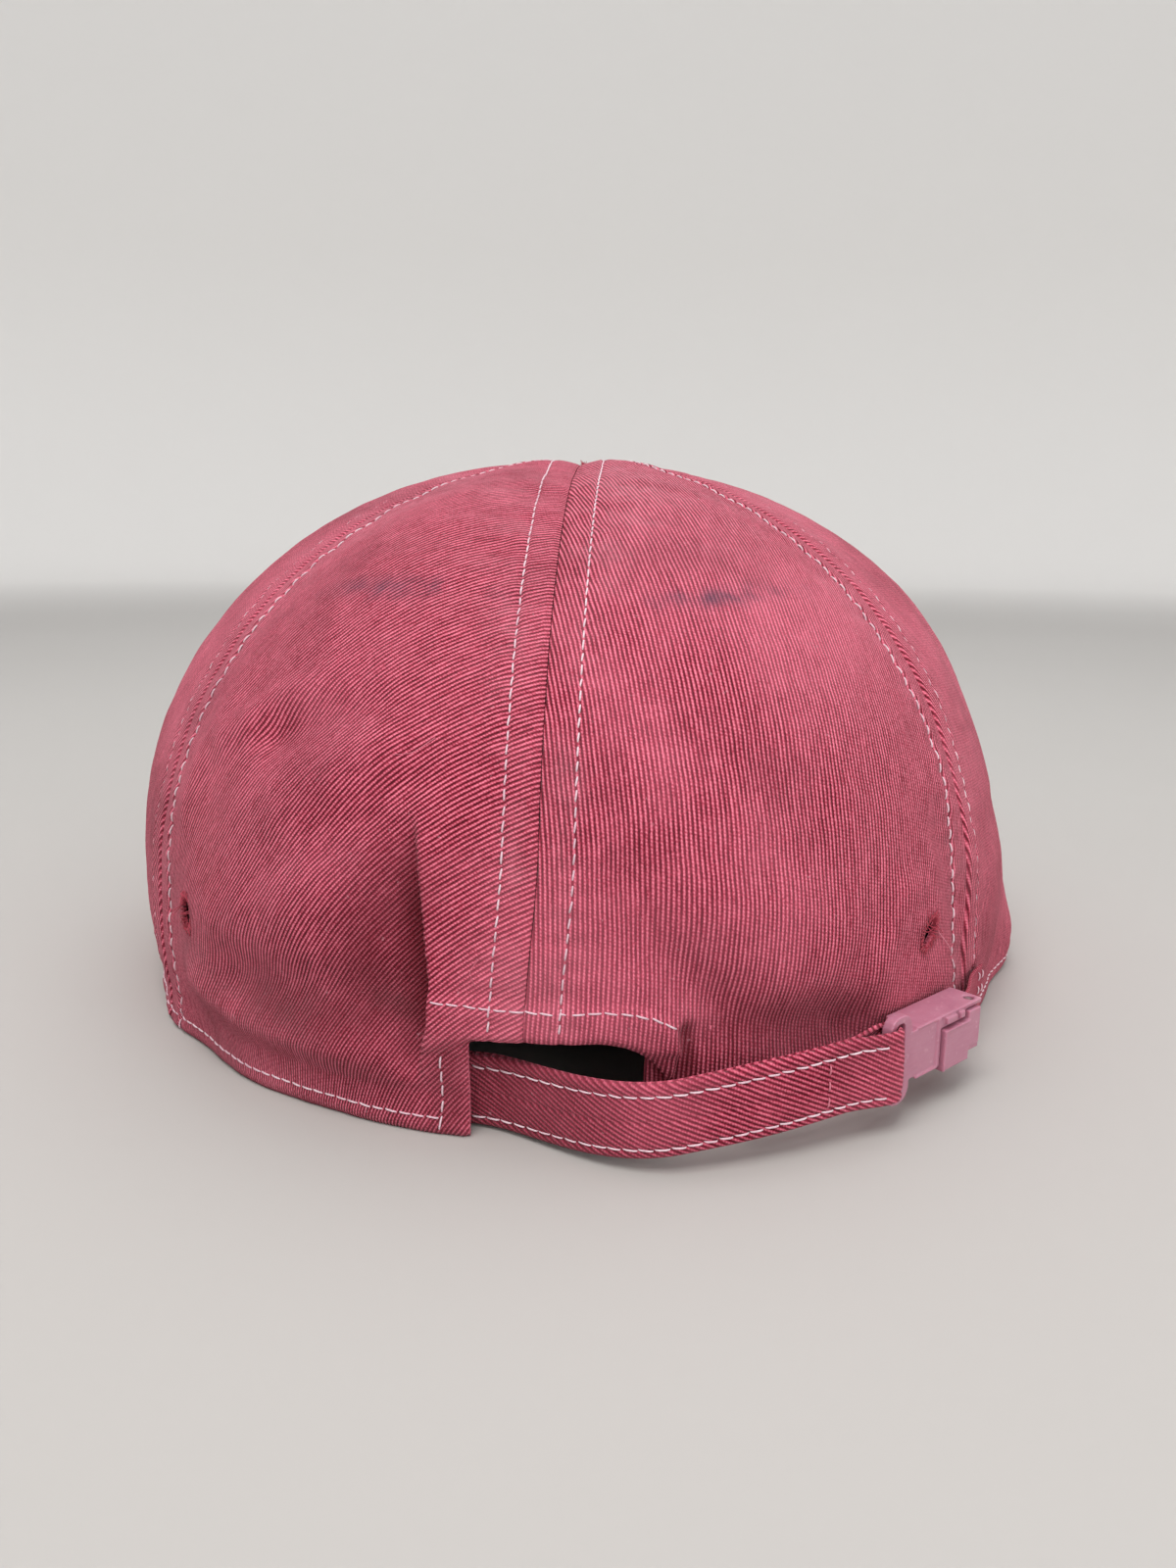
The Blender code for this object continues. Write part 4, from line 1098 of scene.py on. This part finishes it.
def adjusting_tape():
    """The narrow tape that the buckle runs on: round the rear, then in to its sewn end on the right panel."""
    bearing = np.linspace(20.4, 66.4, 170)
    angle = np.radians(bearing)
    # How far the rim is from the rear's centre: where a ray from there meets the rim's ellipse
    a = (np.sin(angle) / HALF_WIDTH) ** 2 + (np.cos(angle) / HALF_LENGTH) ** 2
    b = -2 * REAR_CENTRE * np.cos(angle) / HALF_LENGTH**2
    sewn = (-b + np.sqrt(b * b - 4 * a * ((REAR_CENTRE / HALF_LENGTH) ** 2 - 1))) / (2 * a) + 1.9
    radius = BUCKLE_RADIUS + 0.2
    radius = radius + (sewn - radius) * smooth((bearing - 55.5) / (64 - 55.5))
    across = np.linspace(-1, 1, 13)[:, None]
    bow = 0.10 * (1 - across**2) - 0.10 * bell(np.abs(across) - 0.72, 0.08)
    x, y = rear(radius[None] + 0.30 + bow, bearing[None])
    points = np.stack([x, y, BUCKLE_Z + across * 3.02 + 0 * x], -1)
    strip("adjusting_tape_cloth", points, 0.62, TAPE_TWILL, "red_lining", "adjusting_tape")
    out, zs = rear_out(bearing), np.linspace(-2.6, 2.6, 40)
    runs = []
    for end in (64.6, 65.8):
        k = int(np.argmin(np.abs(bearing - end)))
        line = np.stack([0 * zs + x[6, k], 0 * zs + y[6, k], BUCKLE_Z + zs], 1) + out[k] * 0.05
        runs.append((line, np.repeat(out[k][None], 40, 0)))
    stitch_piece("stitches_tape_end", runs, "cap", 1.9, 1.6, 0.13)


def rounded_copy(node, body, voxel, blocks, pockets=()):
    """A CAD moulding with its edges rounded. Small blocks are joined to it, and pockets cut in it."""
    obj = add(node + "_moulding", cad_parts[node].data.copy())
    cutters = [add("pocket", bpy.data.meshes.new("pocket")) for _ in pockets]
    for cutter, pocket in zip(cutters, pockets):
        edit(cutter.data, lambda bm: add_block(bm, *pocket))
    cut(obj, cutters)
    remove(cutters)
    edit(obj.data, lambda bm: [add_block(bm, *block) for block in blocks])
    remesh = obj.modifiers.new("moulding", "REMESH")
    remesh.mode, remesh.voxel_size = "VOXEL", voxel * MM
    remesh.use_smooth_shade = True
    relax = obj.modifiers.new("relax", "SMOOTH")
    relax.iterations, relax.factor = 4, 0.5
    apply_modifiers(obj)
    obj.data.materials.clear()
    obj.data.materials.append(BUCKLE)
    finish_piece(obj, body, "pink_plastic", node)


def buckle_frame():
    angle = math.radians(BUCKLE_BEARING)
    x, y = rear(BUCKLE_RADIUS, BUCKLE_BEARING)
    return Matrix.Translation(Vector(place(np.array([x, y, BUCKLE_Z])))) @ Matrix.Rotation(angle, 4, "Z")


def add_block(bm, x, y, z):
    """A block between two places on each of the buckle's axes, in millimetres."""
    size = Matrix.Diagonal((x[1] - x[0], y[1] - y[0], z[1] - z[0], 1))
    middle = Matrix.Translation(((x[0] + x[1]) / 2 * MM, (y[0] + y[1]) / 2 * MM, (z[0] + z[1]) / 2 * MM))
    scale = Matrix.Diagonal((MM, MM, MM, 1))
    bmesh.ops.create_cube(bm, size=1, matrix=buckle_frame() @ middle @ size @ scale)


def buckle():
    rounded_copy(
        "buckle_body", "buckle", 0.15,
        [((-5.6, 12.9), (-3.5, -3.1), (4.05, 4.4)), ((-5.7, 0.3), (-3.55, -3.1), (-4.4, -4.0)),
         ((-0.2, 0.5), (-3.6, -3.1), (-4.3, 4.2)), ((-7.4, -5.2), (-3.3, -1.5), (-4.0, 4.0))],
        [((1.9, 4.9), (-4.0, -2.5), (2.75, 3.85)), ((5.9, 7.2), (-4.0, -2.5), (2.75, 3.85))],
    )
    rounded_copy(
        "buckle_lever", "lever", 0.13,
        [((1.7, 9.0), (-4.1, -3.7), (1.35, 1.75)), ((1.55, 1.95), (-4.1, -3.7), (-5.3, 1.7))],
    )


# ---------------------------------------------------------------- hidden and inner pieces

def strip(name, points, thickness, finish, slot, *nodes):
    """A strip of cloth over a grid of points, rows by columns, with its rim rounded."""
    rows, columns = points.shape[:2]
    u, v = np.meshgrid(np.linspace(0, 1, columns), np.linspace(0, 1, rows))
    u, v = u * walked(points[rows // 2])[-1], v * walked(points[:, columns // 2])[-1]
    marked = {"wear_and_sheen": 0 * u, "darkening": 0.1 + 0 * u}
    obj = make(name, place(points), grid_faces(rows, columns), finish, True, marked, np.stack([u, v], -1))
    solid(obj, thickness)
    bevel = obj.modifiers.new("edge", "BEVEL")
    bevel.width, bevel.segments = min(thickness * 0.45, 1.6) * MM, 3
    bevel.limit_method, bevel.angle_limit = "ANGLE", 0.9
    return finish_piece(obj, "cap", slot, *nodes)


def seam_tapes():
    for node, seam, lowest in (
        ("seam_tape_back", 0, 32), ("seam_tape_back_left", -BACK_SEAM, 16), ("seam_tape_back_right", BACK_SEAM, 16),
        ("seam_tape_front_left", -FRONT_SEAM, 10), ("seam_tape_front_right", FRONT_SEAM, 10),
        ("seam_tape_front", 180, 10),
    ):
        rise = np.linspace(rise_of(seam, lowest + float(rim_lift(seam))), 0.86, 40)
        half = TAPE_HALF_WIDTH / arc_per_degree(seam, rise)
        bearing = seam + half[:, None] * np.linspace(-1, 1, 9)[None]
        points = inside(bearing, np.repeat(rise[:, None], 9, 1), TAPE_DEPTH)
        strip(node + "_cloth", points, TAPE, TAPE_TWILL, "red_lining", node)


def pads():
    for node, start, end, low, high in (
        ("front_pad", 154, 206, 0.36, 0.54), ("rear_pad", -24, 24, 0.36, 0.52),
        ("side_pad_left", -118, -62, 0.33, 0.51), ("side_pad_right", 62, 118, 0.33, 0.51),
    ):
        b, r = np.meshgrid(np.linspace(start, end, 40), np.linspace(low, high, 18))
        u, v = np.meshgrid(np.linspace(-1, 1, 40), np.linspace(-1, 1, 18))
        crown = (1 - u**6) * (1 - v**6)
        depth = 7.6 + 4.6 * crown**0.35 + 0.12 * ripple(base(b, r), 12, 9)
        slab(node + "_foam", inside(b, r, FOAM_DEPTH), inside(b, r, depth[..., None]), node)
    lowest, highest = rise_of(0, 96.5), 0.992
    # The crown pad's rows: one at its rim, then twelve up to the small flat at its middle
    rows = (np.concatenate([[0.72], np.linspace(0.735, 0.985, 12)]) - 0.72) / (0.985 - 0.72)
    b, r = np.meshgrid(np.linspace(0, 360, 65)[:-1], lowest + (highest - lowest) * rows)
    depth = 7.8 + 4.3 * (1 - (1 - np.linspace(0, 1, 13)[:, None, None]) ** 4) ** 0.5
    slab("crown_pad_foam", inside(b, r, FOAM_DEPTH), inside(b, r, depth), "crown_pad", closed=True)


def slab(name, top, under, node, closed=False):
    """A foam pad between two grids of points, closed round its rim."""
    rows, columns = top.shape[:2]
    one = grid_faces(rows, columns, closed)
    count = rows * columns
    faces = one.tolist() + (one[:, ::-1] + count).tolist()
    index = np.arange(count).reshape(rows, columns)
    if closed:
        rim = np.append(index[0], index[0][0])[::-1]
        faces += [index[-1].tolist(), (index[-1][::-1] + count).tolist()]
    else:
        rim = np.concatenate([index[0], index[1:, -1], index[-1, ::-1][1:], index[::-1, 0][1:]])[::-1]
    faces += [[a, b, b + count, a + count] for a, b in zip(rim[:-1], rim[1:])]
    verts = np.concatenate([top.reshape(-1, 3), under.reshape(-1, 3)])
    obj = outward(make(name, place(verts), faces, FOAM))
    finish_piece(obj, "cap", "foam", node)


def sweatband():
    """An upright knitted band, its stitching, and the blank label sewn on it."""
    bearing, heights = np.linspace(18.2, 345.8, 260), np.linspace(1.2, 29.5, 22)
    inward = -normals(bearing, np.full_like(bearing, -0.5))
    foot = base(bearing, np.full_like(bearing, -1.0)) + inward * BAND_DEPTH
    points = foot[None] + UP * heights[:, None, None]
    bulge = 0.30 * np.sin(np.pi * (heights - 1.2) / 28.3)[:, None, None]
    points = points + inward[None] * bulge * (1 + 0.4 * ripple(points, 22, 14, 2)[..., None])
    band = strip("sweatband_knit", points, BAND_THICKNESS, BAND, "sweatband_cloth", "sweatband")
    stitch_piece("stitches_band", [(points[-3] + inward * 1.05, inward)], "cap", 2.8, 2.2, 0.18)
    bearing = np.linspace(322.3, 335.7, 24)
    foot = base(bearing, np.full(24, -1.0)) - normals(bearing, np.full(24, -0.5)) * LABEL_DEPTH
    label = foot[None] + UP * np.linspace(7.3, 22.7, 16)[:, None, None]
    tag = strip("size_label_weave", label, LABEL_THICKNESS, LABEL, "label_cloth", "size_label")


def apex_patch():
    ring = np.radians(np.arange(0, 360, 10))
    r, ring = np.meshgrid(np.linspace(9, 1.0, 9), ring, indexing="ij")
    points = np.stack([r * np.cos(ring), r * np.sin(ring), CROWN_HEIGHT - TAPE_DEPTH - 0.004 * r * r], -1)
    obj = make("apex_patch_cloth", place(points), grid_faces(9, 36, True), TAPE_TWILL, True, None, points[..., :2])
    solid(obj, TAPE)
    finish_piece(obj, "cap", "red_lining", "apex_patch")


def facing():
    """The turned-in facing behind the rear opening."""
    left, right, top, r1, r2 = OPENING
    corner = np.radians(np.linspace(180, 90, 24))
    rows = []
    for grow in np.linspace(0.25, 6.0, 8):
        x = np.concatenate([[left - grow] * 6, left + r1 + (r1 + grow) * np.cos(corner),
                            (right - r2 + (r2 + grow) * np.cos(np.pi - corner[::-1])), [right + grow] * 6])
        z = np.concatenate([np.linspace(1.2, top - r1, 7)[:-1], top - r1 + (r1 + grow) * np.sin(corner),
                            top - r2 + (r2 + grow) * np.sin(corner[::-1]), np.linspace(top - r2, 1.2, 7)[1:]])
        rows.append(inside(*back_place(x, z), FACING_DEPTH))
    strip("opening_facing_cloth", np.stack(rows)[::-1], FACING, TWILL, "red_twill", "opening_facing")
    # Its right end is folded back on itself, and shows beside the hole.
    x, z = np.meshgrid(np.linspace(17.0, 27.0, 20), np.linspace(1.2, 18.0, 24))
    points = inside(*back_place(x - 0.6 * np.sin(z / 6), z), RETURN_DEPTH)
    strip("opening_return_cloth", points, FACING, TWILL, "red_twill")


# ---------------------------------------------------------------- peak

PEAK_LENGTH, PEAK_RISE, PEAK_DROOP = 66.0, 2.6, 0.07
PEAK_ROWS = (0.16, 0.31, 0.46, 0.61, 0.76, 0.90)  # rows of stitching, as shares of the way out


def peak_points(u, v):
    """The board's middle surface: u is -1 to 1 across it, and v is 0 to 1 outwards."""
    root_angle = np.radians(180 - PEAK_ROOT * u)
    stand_off = 1 + 0.4 / HALF_WIDTH
    root = np.stack([HALF_WIDTH * np.sin(root_angle), -HALF_LENGTH * np.cos(root_angle)], -1) * stand_off
    end_x, end_y = HALF_WIDTH * math.sin(math.radians(PEAK_ROOT)), HALF_LENGTH * math.cos(math.radians(PEAK_ROOT))
    turn = np.abs(u) * np.pi / 2
    edge = np.stack([
        np.sign(u) * np.sin(turn) ** 0.9 * (end_x + 1.5),
        end_y + (HALF_LENGTH + PEAK_LENGTH - end_y) * np.clip(np.cos(turn), 0, 1) ** 0.9,
    ], -1)
    flat = root * (1 - v[..., None]) + edge * v[..., None]
    arch = np.maximum(0, 1 - (flat[..., 0] / end_x) ** 2)
    droop = PEAK_DROOP * np.linalg.norm(edge - root, axis=-1) * v * arch
    z = FRONT_LIFT * arch**2 + PEAK_RISE - droop
    return np.concatenate([flat, z[..., None]], -1)


def peak():
    """Both covers, rolled together round the board's edge, and their rows of stitching."""
    u, v = np.meshgrid(uneven(180, 0.6) * 2 - 1, np.concatenate([np.linspace(0.01, 1, 66), np.full(8, 1.0)]))
    roll = np.concatenate([np.zeros(66), np.linspace(0, 1, 9)[1:]])[:, None] * np.pi / 2
    edge = peak_points(u[0], np.ones(u.shape[1]))
    away = unit(np.stack([np.gradient(edge[:, 1]), -np.gradient(edge[:, 0]), 0 * edge[:, 0]], 1))
    away = np.where((away[:, 1] < 0)[:, None], -away, away)
    flat_points = peak_points(u, v)
    taper = smooth((1.003 - np.abs(u)) / 0.05)
    for name, sign, slot in (("peak_top", 1, "red_twill"), ("peak_under", -1, "red_lining")):
        out = 0.10 * ripple(flat_points, 16, 40 + sign, 2) * (1 - smooth((v - 0.9) / 0.1))
        for row in PEAK_ROWS:
            out = out - 0.14 * bell(v - row, 0.012)
        out = 2.0 + out + 0.25 * bell(v - 0.97, 0.02) * (roll == 0)
        points = flat_points + UP * (sign * out * np.cos(roll) * (0.4 + 0.6 * taper))[..., None]
        points = points + away[None] * (1.7 * np.sin(roll) * taper)[..., None]
        coords = np.stack([points[..., 0] * 0.97 + 0.2 * points[..., 1], points[..., 1]], -1)
        worn = {"wear_and_sheen": 0.45 * bell(v - 1.0, 0.03), "darkening": 0.06 + 0 * v}
        obj = make(name + "_cloth", place(points), grid_faces(*u.shape)[:, ::sign], TWILL, True, worn, coords)
        solid(obj, PEAK_CLOTH)
        finish_piece(obj, "cap", slot, name + "_cover")
    u = np.linspace(-0.93, 0.93, 600)
    runs = [
        (peak_points(u, np.full(600, row)) + sign * 1.95 * UP, np.repeat(sign * UP[None], 600, 0))
        for row in PEAK_ROWS for sign in (1, -1)
    ]
    stitch_piece("stitches_peak", runs, "cap", 2.9, 2.4, 0.19)


def cad_finishes():
    """Better materials for the CAD pieces that stay."""
    for node, finish in (("bump_shell", SHELL), ("peak_board", BOARD), ("lever_pin", steel())):
        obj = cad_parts[node]
        for holder in obj.material_slots:
            holder.material = finish


camera()
sweep()
studio()
fabric_cover()
crown_stitching()
eyelet("eyelet_left", -EYELET_BEARING, *LEFT_SLOT)
eyelet("eyelet_right", EYELET_BEARING, *RIGHT_SLOT)
loose_threads()
straps()
adjusting_tape()
buckle()
seam_tapes()
pads()
sweatband()
apex_patch()
facing()
peak()
cad_finishes()
